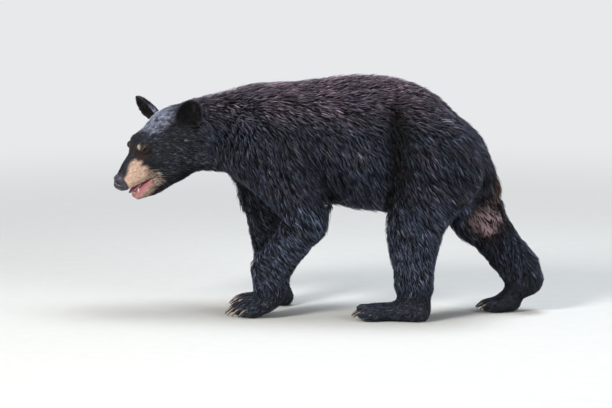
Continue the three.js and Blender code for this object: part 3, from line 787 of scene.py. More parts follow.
def open_eyes(h):
    """Lays lids over each eyeball, parted by an almond slit."""
    for side in (1, -1):
        gaze, back, up = eye_axes(side)
        centre = eye_centre(side)
        d = h - centre
        along, across, out = d @ back, d @ up, d @ gaze
        flat = np.hypot(along, across)
        near = (flat < 24) & (out > -14) & (np.linalg.norm(d, axis=1) < 32)
        a, c, o = along[near], across[near], out[near]
        gap = slit_gap(a, c)
        # vertices close to the slit's edge are drawn onto it
        pull = np.where(np.abs(gap) < 0.8, 0.97, 0)
        edge = np.where(c > 0, LID_TOP, -LID_BOTTOM) * np.clip(1 - (a / SLIT_HALF) ** 2, 0, 1) ** 0.8
        c = c + pull * (edge - c) * (np.abs(a) < SLIT_HALF)
        r = np.hypot(a, c)
        ball = EYE_RADIUS / MM
        lid = np.sqrt(np.maximum((ball + 1.5) ** 2 - np.minimum(r, ball + 1.2) ** 2, 0.4))
        lid = lid + 0.5 * np.exp(-((gap - 1.2) ** 2) / 1.2)
        upper_fold = -0.9 * np.exp(-((gap - 4.2) ** 2) / 1.5) * (c > 0)
        fold = upper_fold - 0.7 * np.exp(-((gap - 4.5) ** 2) / 2) * (c < 0)
        share = smooth_step(r, 15, 8.5)
        surface = o * (1 - share) + lid * share + fold * smooth_step(r, 19, 12)
        sunk = np.sqrt(np.maximum((ball - 2.6) ** 2 - r**2, 1))
        surface = np.where(gap < 0.05, np.minimum(sunk, surface), surface)
        h[near] = centre + a[:, None] * back + c[:, None] * up + surface[:, None] * gaze
    return h


def part_lips(h):
    """Rounds the lips' rims outwards and sinks the corner of the mouth."""
    x, y, z = h.T
    side = smooth_step(np.abs(y), 4, 12)
    for height, upward in ((upper_lip_height(x), 1), (lower_lip_height(x), -1)):
        rim = np.exp(-(((z - height) * upward - 2.2) ** 2) / 6)
        rim = rim * smooth_step(x, 2, 18) * smooth_step(x, 100, 80)
        h[:, 1] += np.sign(y) * 1.5 * rim * side
    crease = np.exp(-(((x - 0) / 9) ** 2) - ((z + 74) / 2.6) ** 2) * smooth_step(np.abs(y), 15, 25)
    h[:, 1] -= np.sign(y) * 3.0 * crease
    return h


def hollow_cheeks(h):
    """The soft hollows before the eyes, and the edge of the flews."""
    x, y, z = h.T
    hollow = np.exp(-(((x - 34) / 16) ** 2) - ((np.abs(y) - 24) / 12) ** 2 - ((z + 6) / 14) ** 2)
    h[:, 1] -= np.sign(y) * 2.6 * hollow
    h[:, 2] -= 3.5 * smooth_step(x, 52, 84) * smooth_step(z, -52, -30)
    h[:, 2] -= 6 * smooth_step(z, -90, -106) * smooth_step(x, -35, 10)
    flew = np.exp(-(((x - 55) / 26) ** 2) - ((z + 56) / 8) ** 2) * smooth_step(np.abs(y), 8, 18)
    h[:, 1] += np.sign(y) * 1.6 * flew
    return h


def ear_axes(name):
    """An ear's centre, and its axes: the way it faces, its breadth and its height."""
    centre, up, facing = (np.array(v, dtype=float) for v in EARS[name])
    height = unit(up)
    breadth = unit(np.cross(height, facing))
    return centre, np.cross(breadth, height), breadth, height


EAR_HALF = (34, 47)  # breadth and height of the bare ear, millimetres
EAR_CUP = 16
EAR_THICK = 2.6


def ear_shell(name):
    """A bare ear: a cupped plate with a rounded rim, its foot narrower, thicker and sunk in the head."""
    centre, facing, breadth, height = ear_axes(name)
    rings, sides = 18, 60
    front, ring, turn = np.meshgrid((1, -1), np.arange(rings), np.arange(sides), indexing="ij")
    front, angle = front.ravel(), turn.ravel() * 2 * pi / sides
    r = np.sin(ring.ravel() / (rings - 1) * pi / 2)
    u, v = r * np.cos(angle), r * np.sin(angle)
    low = smooth_step(v, -0.1, -1.0)
    across = EAR_HALF[0] * u * (1 - 0.16 * low + 0.05 * smooth_step(v, 0, 0.7))
    cup = EAR_CUP * (u * u * (1 + 0.4 * low) + np.where(v < 0, 0.8, 0.45) * v * v - 0.75)
    curl = 1.8 * smooth_step(r, 0.8, 1.0) * smooth_step(v, -0.7, -0.3)
    thick = EAR_THICK * np.sqrt(np.clip(1 - r**8, 0, 1)) * (1 + 1.5 * low)
    out = cup + curl + front * thick
    h = centre + rows(out) * facing + rows(across) * breadth + rows(EAR_HALF[1] * v) * height
    faces = []
    for sheet in (0, 1):
        for i in range(rings - 1):
            for k in range(sides):
                a = (sheet * rings + i) * sides + k
                b = a + 1 if k + 1 < sides else a + 1 - sides
                quad = (a, a + sides, b + sides, b)
                faces.append(quad if sheet == 0 else quad[::-1])
    ear = new_object(name + "_shell", mesh_from(name + "_shell", from_head(h), faces))
    select_only(ear)
    bpy.ops.object.mode_set(mode="EDIT")
    bpy.ops.mesh.select_all(action="SELECT")
    bpy.ops.mesh.remove_doubles(threshold=1e-6)
    bpy.ops.mesh.normals_make_consistent(inside=False)
    bpy.ops.object.mode_set(mode="OBJECT")
    keep_values(ear.data, "part", "INT", np.full(len(ear.data.vertices), FLESH.index(name)))
    return ear


def claw_ends(node):
    """The root and tip of a claw, from its solid, which dips towards its tip."""
    points = points_of(frame["nodes"][node].data)
    axis = np.linalg.svd(points - points.mean(axis=0))[2][0]
    axis = axis * np.sign(axis[2])
    along = points @ axis
    return points[along > along.max() - 5 * MM].mean(axis=0), points[along.argmin()]


FEET = {
    "left_paw": "left_fore",
    "right_paw": "right_fore",
    "left_foot": "left_hind",
    "right_foot": "right_hind",
}


def foot_claws(foot):
    return [claw_ends(f"{foot}_claw_{k}") for k in range(1, 6)]


def toes_ahead(foot):
    """The way a foot points, level with the floor."""
    ahead = sum(tip - root for root, tip in foot_claws(foot)) * np.array([1, 1, 0])
    return unit(ahead)


def toes_at(h):
    """Whether places, in the head's axes, are on the front of a paw."""
    points = from_head(h)
    near = np.zeros(len(points), dtype=bool)
    for foot in FEET.values():
        for root, _ in foot_claws(foot):
            near |= (np.linalg.norm((points - root)[:, :2], axis=1) < 36 * MM) & (points[:, 2] < 60 * MM)
    return near


def part_toes(points, normals):
    """Grooves between the toes, from the tips of the paw back towards the wrist."""
    moved = points.copy()
    for foot in FEET.values():
        ends = foot_claws(foot)
        ahead = toes_ahead(foot)
        for (root, _), (next_root, _) in zip(ends[:-1], ends[1:]):
            start = (root + next_root) / 2
            offset = points - start
            along = offset @ ahead
            across = offset - rows(along) * ahead
            away = np.linalg.norm(across[:, :2], axis=1)
            share = np.exp(-((away / (4.5 * MM)) ** 2)) * smooth_step(along, -46 * MM, -16 * MM)
            share = share * smooth_step(along, 40 * MM, 25 * MM)
            share = share * smooth_step(across[:, 2], -34 * MM, -20 * MM)
            moved -= normals * rows(share * 8 * MM)
    return moved


def store_coat(mesh, parts):
    """Keeps on the skin what the coat needs: which part it is, the lie of the hair, its depth and length."""
    points = points_of(mesh)
    normals = normals_of(mesh)
    table = [coat_of(name) for name in FLESH]
    around = Neighbours(mesh)
    values = {key: np.array([row[key] for row in table], dtype=float)[parts] for key in SPREAD}
    lie = unit(np.array([row["lie"] for row in table], dtype=float)[parts])
    lie = lie_of_coat(points, parts, lie)
    for _ in range(SPREAD_ROUNDS):
        lie = around.mean(lie)
        values = {key: around.mean(value) for key, value in values.items()}
    h = to_head(points)
    face = near_face(h)
    for key, less in (("depth", 0.62), ("loft", 0.62), ("length", 0.45), ("width", 0.3)):
        values[key] = values[key] * (1 - less * face)
    for key, less in (("length", 0.25), ("width", 0.25), ("loft", 0.3)):
        values[key] = values[key] * (1 - less * crown_share(h))
    body = np.array(FLESH)[parts] == "trunk"
    belly = around.mean(np.where(body, smooth_step(normals[:, 2], -0.25, -0.85), 0.0))
    values["loft"] = values["loft"] * (1 + 0.45 * belly)
    values["length"] = values["length"] * (1 + 0.3 * belly)
    lie = lie - normals * np.sum(lie * normals, axis=1, keepdims=True)
    keep_values(mesh, "lie", "FLOAT_VECTOR", unit(lie))
    keep_values(mesh, "part", "INT", parts)
    for key, value in values.items():
        keep_values(mesh, key, "FLOAT", value)
    return values["depth"] * MM


def near_face(h):
    """1 on the muzzle and round the eyes, 0 from the cheeks back."""
    x, _, z = h.T
    return smooth_step(x + 0.35 * z, -30, 25) * smooth_step(x, -40, 10)


def lie_of_coat(points, parts, lie):
    """The parts' own directions, bent to the body: level along the back, steeper down the flanks."""
    z = points[:, 2]
    names = np.array(FLESH)[parts]
    body = np.isin(names, ["trunk", "neck"])
    steep = np.where(body, smooth_step(z, 0.56, 0.36) * 1.5, 0)
    lie = lie.copy()
    lie[:, 2] -= steep
    lie[body, 2] += 0.45 * smooth_step(z[body], 0.5, 0.6)
    h = to_head(points)
    on_head = np.isin(names, ["head", "lower_jaw"])
    backwards = unit(h - np.array([104.0, 0.0, -36.0]))
    backwards = backwards @ HEAD_AXES.T
    share = rows(smooth_step(h[:, 0], -70, 20))
    head_lie = unit(backwards * share + np.array([1.0, 0.0, -0.12]) * (1 - share))
    lie[on_head] = head_lie[on_head]
    for name, foot in FEET.items():
        mine = names == name
        low = rows(smooth_step(z[mine], 0.085, 0.05))
        over_toes = toes_ahead(foot) * 0.9 + np.array([0, 0, -0.6])
        lie[mine] = over_toes * low + np.array([0.2, 0, -1]) * (1 - low)
    for name in EARS:
        centre, _, _, height = ear_axes(name)
        mine = names == name
        spread = unit(h[mine] - (centre - 0.9 * 47 * height)) @ HEAD_AXES.T
        lie[mine] = spread
    return unit(lie)


def build_skin():
    skin = joined_flesh()
    apply_modifier(skin, "REMESH", mode="VOXEL", voxel_size=SKIN_CELL, use_smooth_shade=True)
    mesh = skin.data
    parts = nearest_parts(points_of(mesh))
    calm = np.array([coat_of(name)["calm"] for name in FLESH])[parts]
    around = Neighbours(mesh)
    for _ in range(12):
        calm = around.mean(calm)
    calm = calm * (1 - 0.75 * near_face(to_head(points_of(mesh))))
    calm_skin(mesh, calm)
    finer(skin, lambda h: (h[:, 0] > -38) & (h[:, 2] > -130) & (np.abs(h[:, 1]) < 75))
    finer(skin, muzzle_at)
    for reach in (21, 16, 12):
        for side in (1, -1):
            finer(skin, near_eye(side, reach))
    finer(skin, toes_at)
    keep_values(mesh, "part", "INT", nearest_parts(points_of(mesh)))
    ears = [ear_shell(name) for name in EARS]
    select_only(skin)
    for ear in ears:
        ear.select_set(True)
    bpy.ops.object.join()
    parts = kept(mesh, "part", "value", 1).astype(int)
    depth = store_coat(mesh, parts)
    on_ear = np.isin(parts, [FLESH.index(name) for name in EARS])
    points = points_of(mesh) - normals_of(mesh) * rows(np.where(on_ear, 0, depth))
    body = ~on_ear & (np.linalg.norm(to_head(points), axis=1) > 120)
    points[body] = reform(points[body], normals_of(mesh)[body])
    points[body] = part_toes(points[body], normals_of(mesh)[body])
    h = to_head(points)
    face = (np.linalg.norm(h - np.array([30, 0, -40]), axis=1) < 140) & (h[:, 0] > -60) & ~on_ear
    h[face] = part_lips(h[face])
    h[face] = hollow_cheeks(h[face])
    h[face] = open_eyes(h[face])
    points[face] = from_head(h[face])
    move_points(mesh, points)
    mesh.shade_smooth()
    paint_skin(mesh)
    apply_modifier(skin, "DECIMATE", ratio=0.56)
    dress(skin, skin_material(), "coat", *FLESH)
    return skin


def paint_skin(mesh):
    """The markings on the skin itself: darker under the coat, with the bare lips, lids and gums."""
    points = points_of(mesh)
    h = to_head(points)
    near = smooth_step(np.linalg.norm(h - np.array([20, 0, -40]), axis=1), 150, 130)
    colours = markings(points)
    under = 0.55 + 0.45 * near * near_face(h)
    colours = colours * rows(under)
    patch = (points - BARE_PATCH) / BARE_SIZE
    rosy = smooth_step(patch[:, 0] - 0.4 * patch[:, 2], -0.9, 0.5) * (0.7 + 0.3 * wavy(points, 0.02))
    colours = blend_in(colours, BARE, bare_share(points) * (0.3 + 0.7 * rosy))
    for side in (1, -1):
        gaze, back, up = eye_axes(side)
        d = h - eye_centre(side)
        gap = slit_gap(d @ back, d @ up)
        facing = smooth_step(d @ gaze, 2, 5)
        colours = blend_in(colours, linear(0x0E0A0A), facing * smooth_step(gap, 1.6, 0.6))
        lid = smooth_step(gap, 0.8, 1.6) * smooth_step(gap, 6, 3) * facing
        colours = blend_in(colours, linear(0x3D2D2A), 0.8 * lid)
    x, y, z = h.T
    upper = smooth_step(z, upper_lip_height(x) + 4.5, upper_lip_height(x) + 1) * smooth_step(z, -86, -78)
    colours = blend_in(colours, linear(0x2A1C1C), upper * near * smooth_step(x, 14, 24))
    colours = blend_in(colours, LIP, near * lip_share(h))
    colours = blend_in(colours, GUM, near * inside_mouth(h))
    keep_values(mesh, "markings", "FLOAT_COLOR", with_alpha(colours))


# ------------------------------------------------------------------ nose
def nose_share(h):
    """1 over the nose leather, 0 outside it."""
    x, _, z = h.T
    rear = 84.5 + 0.12 * np.clip(z + 45, 0, 30)
    front = smooth_step(x, rear, rear + 3.5)
    above_lip = smooth_step(z, upper_lip_height(x) + 2, upper_lip_height(x) + 5)
    return front * above_lip


def build_nose():
    """The nose leather: a copy of the skin's front, raised, with nostrils and the groove between them."""
    skin = bpy.data.objects["skin"]
    nose = new_object("nose_leather", skin.data.copy())
    bm = bmesh.new()
    bm.from_mesh(nose.data)
    bm.verts.ensure_lookup_table()
    share = nose_share(to_head(points_of(nose.data)))
    outside = [f for f in bm.faces if sum(share[v.index] for v in f.verts) <= 0.02 * len(f.verts)]
    bmesh.ops.delete(bm, geom=outside, context="FACES")
    bmesh.ops.subdivide_edges(bm, edges=bm.edges[:], cuts=1, use_grid_fill=True, smooth=0.5)
    bm.to_mesh(nose.data)
    bm.free()
    mesh = nose.data
    normals = normals_of(mesh)
    h = to_head(points_of(mesh))
    share = nose_share(h)
    n = normals @ HEAD_AXES
    x, y, z = h.T
    lift = (2.4 - 1.2 * smooth_step(z, -40, -25)) * share - 1.2 * (1 - share)
    q = (np.abs(y) - 9.5) / 5.0
    nostril = np.exp(-(q**2) - ((z + 37 + 0.35 * (np.abs(y) - 9)) / 3.4) ** 2) * smooth_step(x, 88, 94)
    wing = np.exp(-(((np.abs(y) - 12) / 4) ** 2) - ((z + 30) / 4) ** 2) * share
    side_slit = np.exp(-(((np.abs(y) - 15.5) / 3) ** 2) - ((z + 43) / 2.2) ** 2) * smooth_step(x, 84, 90)
    groove = np.exp(-((y / 1.5) ** 2)) * smooth_step(z, -33, -38) * share
    lift = lift + 1.2 * wing - 7.5 * nostril - 2.5 * side_slit - 1.8 * groove
    h = h + n * rows(lift)
    move_points(mesh, from_head(h))
    mesh.shade_smooth()
    apply_modifier(nose, "SOLIDIFY", thickness=3 * MM, offset=-1)
    dress(nose, leather_material(), "nose", "nose")
    return nose


# ------------------------------------------------------------------ eyes
def build_eyes():
    """Each eyeball: a fine sphere with a raised cornea, coloured by rings round its gaze."""
    material = eye_material()
    for side, name in ((1, "left"), (-1, "right")):
        gaze = eye_axes(side)[0]
        deselect()
        bpy.ops.mesh.primitive_uv_sphere_add(segments=48, ring_count=32, radius=EYE_RADIUS)
        eye = bpy.context.object
        eye.name = name + "_eyeball"
        mesh = eye.data
        points = points_of(mesh)
        turn = Vector((0, 0, 1)).rotation_difference(Vector(HEAD_AXES @ gaze)).to_matrix()
        polar = points[:, 2] / EYE_RADIUS
        cornea = smooth_step(polar, cos(radians(40)), cos(radians(8)))
        points = points * rows(1 + 0.06 * cornea)
        angle = np.degrees(np.arccos(np.clip(polar, -1, 1)))
        around = np.arctan2(points[:, 1], points[:, 0])
        colours = np.tile(np.array(linear(0x1A1210)), (len(points), 1))
        iris = smooth_step(angle, 42, 38)
        streaks = 0.5 + 0.5 * np.sin(around * 23 + 3 * np.sin(around * 7))
        colours = blend_in(colours, linear(0x0C0705), iris)
        colours = blend_in(colours, linear(0x1E120B), smooth_step(angle, 36, 31) * (0.5 + 0.4 * streaks))
        colours = blend_in(colours, linear(0x020202), smooth_step(angle, 18, 14))
        points = points @ np.array(turn).T + from_head(eye_centre(side))
        move_points(mesh, points)
        mesh.shade_smooth()
        keep_values(mesh, "markings", "FLOAT_COLOR", with_alpha(colours))
        dress(eye, material, "eyes", name + "_eye")


# ------------------------------------------------------------------ mouth
def build_tongue():
    """The tongue: a flat muscle with a groove down the middle, its edges lifted and its tip thin."""
    deselect()
    bpy.ops.mesh.primitive_uv_sphere_add(segments=40, ring_count=24, radius=1, rotation=(0, pi / 2, 0))
    tongue = bpy.context.object
    bpy.ops.object.transform_apply(location=False, rotation=True, scale=True)
    tongue.name = "tongue_muscle"
    mesh = tongue.data
    p = points_of(mesh)
    along = p[:, 0]
    tip = smooth_step(along, 0.1, 1)
    breadth = 13.5 * (1 - 0.12 * tip)
    thick = 5.5 * (1 - 0.35 * tip)
    x = 29 * along
    y = breadth * p[:, 1]
    z = thick * p[:, 2]
    top = smooth_step(p[:, 2], -0.2, 0.4)
    z = z - 1.8 * top * np.exp(-((y / 2.6) ** 2)) + 0.9 * (y / 10) ** 2
    level, fall = cos(LOWER_LIP_FALL), sin(LOWER_LIP_FALL)
    x, z = x * level + z * fall, z * level - x * fall
    centre = np.array(TONGUE_AT, dtype=float) + np.array([2, 0, -1.0])
    move_points(mesh, from_head(np.stack([x, y, z], axis=1) + centre))
    mesh.shade_smooth()
    dress(tongue, tongue_material(), "mouth", "tongue")


def tooth_points(length, radius, lean, rings=9, sides=14):
    """A curved tooth on Z, from its root at 0: rows of rings, then the tip."""
    points = []
    for i in range(rings):
        t = i / rings
        r = radius * (1 - t**1.6) ** 0.8 * (1 + 0.1 * sin(pi * t))
        bend = lean * length * t * t
        for k in range(sides):
            a = 2 * pi * k / sides
            points.append((r * cos(a) + bend, 0.8 * r * sin(a), length * t))
    points.append((lean * length, 0, length))
    return np.array(points), rings, sides


def spindle_faces(rings, sides):
    """Faces of a closed stack of rings with a flat start and one end point."""
    faces = [tuple(range(sides))[::-1]]
    for i in range(rings - 1):
        for k in range(sides):
            a, b = i * sides + k, i * sides + (k + 1) % sides
            faces.append((a, b, b + sides, a + sides))
    last = (rings - 1) * sides
    faces.extend((last + k, last + (k + 1) % sides, rings * sides) for k in range(sides))
    return faces


def mesh_from(name, points, faces):
    mesh = bpy.data.meshes.new(name)
    mesh.from_pydata([tuple(p) for p in points], [], faces)
    mesh.validate()
    mesh.update()
    return mesh


def build_teeth():
    """The lower canines and the small incisors between them, in one piece, set in the lower jaw."""
    points = []
    faces = []
    shades = []
    front = LOWER_CANINE[0] + 13

    def add(at, length, radius, lean, splay):
        shape, rings, sides = tooth_points(length, radius, lean)
        start = len(points)
        tone = shape[:, 2] / length
        for (x, y, z), t in zip(shape, tone):
            points.append((at[0] + x, at[1] + y + splay * z, at[2] + z))
            shades.append(t)
        faces.extend(tuple(start + i for i in face) for face in spindle_faces(rings, sides))

    for side in (1, -1):
        x, y, z = LOWER_CANINE
        add((x, side * y, z - 6), 15.5, 3.3, -0.18, side * 0.16)
        for k in range(3):
            add((front - 2.0 * k, side * (1.8 + 3.1 * k), -92), 8.5 - 0.6 * k, 1.6, 0.1, side * 0.05)
    teeth = new_object("lower_teeth", mesh_from("lower_teeth", from_head(points), faces))
    teeth.data.shade_smooth()
    colours = np.tile(np.array(linear(0xB79B72)), (len(points), 1))
    colours = blend_in(colours, linear(0xEDE6D6), smooth_step(shades, 0.2, 0.7))
    keep_values(teeth.data, "markings", "FLOAT_COLOR", with_alpha(colours))
    dress(teeth, enamel_material(), "mouth")


# ------------------------------------------------------------------ claws
def build_claws():
    """Each claw: a curved blade of horn with a round back and a blunt point, on the node's own line."""
    material = horn_material()
    for node in [row["node"] for row in frame["record"]["subparts"] if row["material_slot"] == "claws"]:
        root, tip = claw_ends(node)
        length = np.linalg.norm(tip - root) * 1.04
        forward = unit(np.array([tip[0] - root[0], tip[1] - root[1], 0]))
        side = np.cross([0, 0, 1.0], forward)
        rings, sides = 12, 14
        shape = []
        tones = []
        drop = (root[2] - tip[2]) / length
        for i in range(rings):
            t = -0.35 + 1.35 * i / rings
            r = 5.2 * MM * (1 - max(t, 0) ** 1.5) ** 0.75
            fall = length * (drop * t - 0.42 * (t - t * t))
            for k in range(sides):
                a = 2 * pi * k / sides
                flat = 0.62 if sin(a) > 0 else 0.55
                centre = root + forward * length * t
                shape.append(centre + side * (flat * r * cos(a)) + np.array([0, 0, r * sin(a) - fall]))
                tones.append((t, sin(a)))
        shape.append(tip + np.array([0, 0, 0.4 * MM]))
        tones.append((1, 0))
        mesh = mesh_from(node + "_horn", shape, spindle_faces(rings, sides))
        claw = new_object(node + "_horn", mesh)
        select_only(claw)
        bpy.ops.object.mode_set(mode="EDIT")
        bpy.ops.mesh.select_all(action="SELECT")
        bpy.ops.mesh.normals_make_consistent(inside=False)
        bpy.ops.object.mode_set(mode="OBJECT")
        along, up = np.array(tones).T
        colours = np.tile(np.array(linear(0x1C1613)), (len(shape), 1))
        # painted highlight: pale ivory along the top of each claw, away from its tip
        pale = smooth_step(up, 0.1, 0.95) * smooth_step(along, 0.1, 0.45) * smooth_step(along, 1.05, 0.8)
        colours = blend_in(colours, linear(0xB29A8C), 0.85 * pale)
        keep_values(claw.data, "markings", "FLOAT_COLOR", with_alpha(colours))
        claw.data.shade_smooth()
        dress(claw, material, "claws", node)


# ------------------------------------------------------------------ the coat
COAT_PIECES = {
    "coat_head": ("head", "lower_jaw"),
    "coat_face": ("head", "lower_jaw"),
    "coat_ears": ("left_ear", "right_ear"),
    "coat_neck": ("neck",),
    "coat_left_flank": ("trunk",),
    "coat_right_flank": ("trunk",),
    "coat_left_loin": ("trunk",),
    "coat_right_loin": ("trunk",),
    "coat_tail": ("tail",),
    "coat_left_foreleg": ("left_upper_arm", "left_forearm", "left_paw"),
    "coat_right_foreleg": ("right_upper_arm", "right_forearm", "right_paw"),
    "coat_left_hindleg": ("left_thigh", "left_shank", "left_foot"),
    "coat_right_hindleg": ("right_thigh", "right_shank", "right_foot"),
}


def piece_numbers(points, parts):
    """Which coat piece each place on the skin belongs to."""
    names = list(COAT_PIECES)
    number = np.zeros(len(points), dtype=int)
    part_names = np.array(FLESH)[parts]
    for i, name in enumerate(names):
        number[np.isin(part_names, COAT_PIECES[name])] = i
    face = np.isin(part_names, COAT_PIECES["coat_face"]) & (to_head(points)[:, 0] > -40)
    number[face] = names.index("coat_face")
    number[np.isin(part_names, COAT_PIECES["coat_head"]) & ~face] = names.index("coat_head")
    trunk = part_names == "trunk"
    x, y, z = points.T
    loin = x > 0.04
    for name, test in (
        ("coat_left_flank", (y < 0) & ~loin),
        ("coat_right_flank", (y >= 0) & ~loin),
        ("coat_left_loin", (y < 0) & loin),
        ("coat_right_loin", (y >= 0) & loin),
    ):
        number[trunk & test] = names.index(name)
    return number


class SkinSampler:
    """Triangles of the skin, with the values that are kept on its vertices."""

    def __init__(self, mesh):
        mesh.calc_loop_triangles()
        corners = np.empty(len(mesh.loop_triangles) * 3, dtype=np.int64)
        mesh.loop_triangles.foreach_get("vertices", corners)
        self.triangles = corners.reshape(-1, 3)
        self.points = points_of(mesh)
        self.normals = normals_of(mesh)
        self.lie = kept(mesh, "lie", "vector", 3)
        self.parts = kept(mesh, "part", "value", 1).astype(int)
        self.values = {key: kept(mesh, key, "value", 1) for key in SPREAD}
        self.tree = BVHTree.FromPolygons([Vector(p) for p in self.points], self.triangles.tolist())

    def scatter(self, rng):
        """Roots spread over the skin, `gap` apart on average: one in each small cube of space."""
        a, b, c = (self.points[self.triangles[:, k]] for k in range(3))
        area = np.linalg.norm(np.cross(b - a, c - a), axis=1) / 2
        gap = self.values["gap"][self.triangles].mean(axis=1) * MM * 1
        expected = 2.2 * area / gap**2
        count = np.floor(expected + rng.random(len(area))).astype(int)
        face = np.repeat(np.arange(len(area)), count)
        u, v = rng.random((2, len(face)))
        flip = u + v > 1
        u[flip], v[flip] = 1 - u[flip], 1 - v[flip]
        weights = np.stack([1 - u - v, u, v], axis=1)
        order = rng.permutation(len(face))
        face, weights = face[order], weights[order]
        places = self.mix(self.points, face, weights)
        gap = self.mix(self.values["gap"], face, weights) * MM * 0.92 * 1
        cell = np.floor(places / rows(gap))
        _, first = np.unique(cell, axis=0, return_index=True)
        first = np.sort(first)
        return face[first], weights[first]

    def mix(self, values, face, weights):
        corner = values[self.triangles[face]]
        if values.ndim == 1:
            return np.sum(corner * weights, axis=1)
        return np.sum(corner * weights[:, :, None], axis=1)


def bald(points, h, rng):
    """Where no tuft grows: eyes, lips, nose, soles and the bare patch."""
    none = np.zeros(len(points), dtype=bool)
    for side in (1, -1):
        gaze, back, up = eye_axes(side)
        d = h - eye_centre(side)
        none |= (slit_gap(d @ back, d @ up) < 2.2) & (d @ gaze > 0) & (np.linalg.norm(d, axis=1) < 20)
    near = np.linalg.norm(h - np.array([30, 0, -50]), axis=1) < 110
    none |= near & (h[:, 0] > 83)
    x, y, z = h.T
    lips = (z < upper_lip_height(x) + 1.5) & (z > lower_lip_height(x) - 1.5) & (x > 1)
    none |= near & lips & (x < 110)
    none |= near & (lip_share(h) > 0.3)
    none |= points[:, 2] < 3.5 * MM
    return none | (rng.random(len(points)) < 0.9 * bare_share(points))


def buried(roots, parts):
    """Roots on the sunk foot of an ear."""
    tree, _ = part_finder()
    hidden = np.zeros(len(roots), dtype=bool)
    for i in np.flatnonzero(np.isin(parts, [FLESH.index(name) for name in EARS])):
        place, normal, _, _ = tree.find_nearest(roots[i])
        hidden[i] = normal.dot(Vector(roots[i]) - place) < -2 * MM
    return hidden


def clump(places, tips, grain, pull):
    """Draws each tip towards the tip of its clump, and tells which clump that is."""
    cell = np.column_stack([np.floor(places / rows(grain)), grain / MM])
    _, lead = np.unique(cell, axis=0, return_index=True)
    tree = KDTree(len(lead))
    for i, k in enumerate(lead):
        tree.insert(places[k], i)
    tree.balance()
    mine = np.array([tree.find(p)[1] for p in places])
    offset = tips[lead[mine]] - tips
    reach = np.linalg.norm(offset, axis=1)
    pull = pull * smooth_step(reach, 2.6 * grain, 1.2 * grain)
    return tips + offset * rows(pull), mine


def grow_tufts(sampler, rng):
    """All tufts: root, middle and tip, with the facing, width and colours of each."""
    face, weights = sampler.scatter(rng)
    roots = sampler.mix(sampler.points, face, weights)
    h = to_head(roots)
    parts = sampler.parts[sampler.triangles[face, 0]]
    keep = ~bald(roots, h, rng) & ~buried(roots, parts)
    parts = parts[keep]
    face, weights, roots, h = face[keep], weights[keep], roots[keep], h[keep]
    count = len(roots)
    normals = unit(sampler.mix(sampler.normals, face, weights))
    lie = sampler.mix(sampler.lie, face, weights)
    lie = unit(lie - normals * np.sum(lie * normals, axis=1, keepdims=True))
    value = {key: sampler.mix(v, face, weights) * MM for key, v in sampler.values.items()}
    side = np.cross(normals, lie)
    sway = rng.normal(0, 0.16, count) + 0.5 * (wavy(roots, 0.045) - 0.5)
    lie = unit(lie + side * rows(sway))
    fine = near_face(h)
    kind = rng.random(count)
    guard = kind < GUARD
    rise = np.where(guard, rng.uniform(0.8, 1.12, count), rng.uniform(0.3, 0.75, count))
    rise = np.where(kind < STRAY, rng.uniform(1.12, 1.32, count), rise)
    rise = rise * (1 - fine) + rng.uniform(0.35, 0.98, count) * fine
    height = value["loft"] * rise
    length = value["length"] * rng.uniform(0.72, 1.15, count) * (0.9 + 0.25 * wavy(roots, 0.08, 1.0))
    length = length * np.where(guard, 1.15, 1.0)
    target = roots + lie * rows(np.sqrt(np.maximum(length**2 - height**2, (0.4 * length) ** 2)))
    found = [sampler.tree.find_nearest(place)[:2] for place in target]
    on_skin, facing = (np.array([pair[k] for pair in found]) for k in (0, 1))
    tips = on_skin + facing * rows(height)
    small = value["length"] < SHORT * MM
    tips, group = clump(roots, tips, np.where(small, 4.5 * MM, 5.5 * MM), 0.5)
    tips, lock = clump(roots, tips, np.where(small, 9 * MM, 16 * MM), 0.2)
    middles = roots + (tips - roots) * 0.45 + normals * rows(height * 0.32 + 0.2 * MM)
    roots = roots - normals * rows(value["width"] * 0.4)
    spread = 1 - 0.6 * fine
    tone = rng.normal(0, 0.45, count) + rng.normal(0, 0.36, group.max() + 1)[group]
    tone = tone + rng.normal(0, 0.22, lock.max() + 1)[lock]
    names = np.array(FLESH)[parts]
    on_head = np.where(np.isin(names, ["head", "lower_jaw"]), 0.85, 1)
    on_head = np.where(np.isin(names, list(EARS)), 0.1, on_head)
    plain = (1 - fine) * (1 - bare_share(roots)) * on_head
    tone = tone + np.log(np.where(guard, 3.9, 0.45)) * plain
    limbs = np.array([name.split("_", 1)[-1] in LIMBS for name in FLESH])[parts]
    # painted shade: darker tufts on the inner sides of the legs, which face each other
    inner_leg_shade = smooth_step(-normals[:, 1] * np.sign(roots[:, 1]), 0.0, 0.6)
    inner_leg_shade = inner_leg_shade * smooth_step(np.abs(roots[:, 1]), 0.02, 0.06)
    tone = tone - 0.8 * inner_leg_shade * limbs
    return dict(
        roots=roots,
        middles=middles,
        tips=tips,
        normals=normals,
        width=value["width"] * rng.uniform(0.75, 1.2, count),
        tone=np.exp(spread * tone),
        length=length,
        fine=fine,
        parts=parts,
        colours=markings(roots),
    )


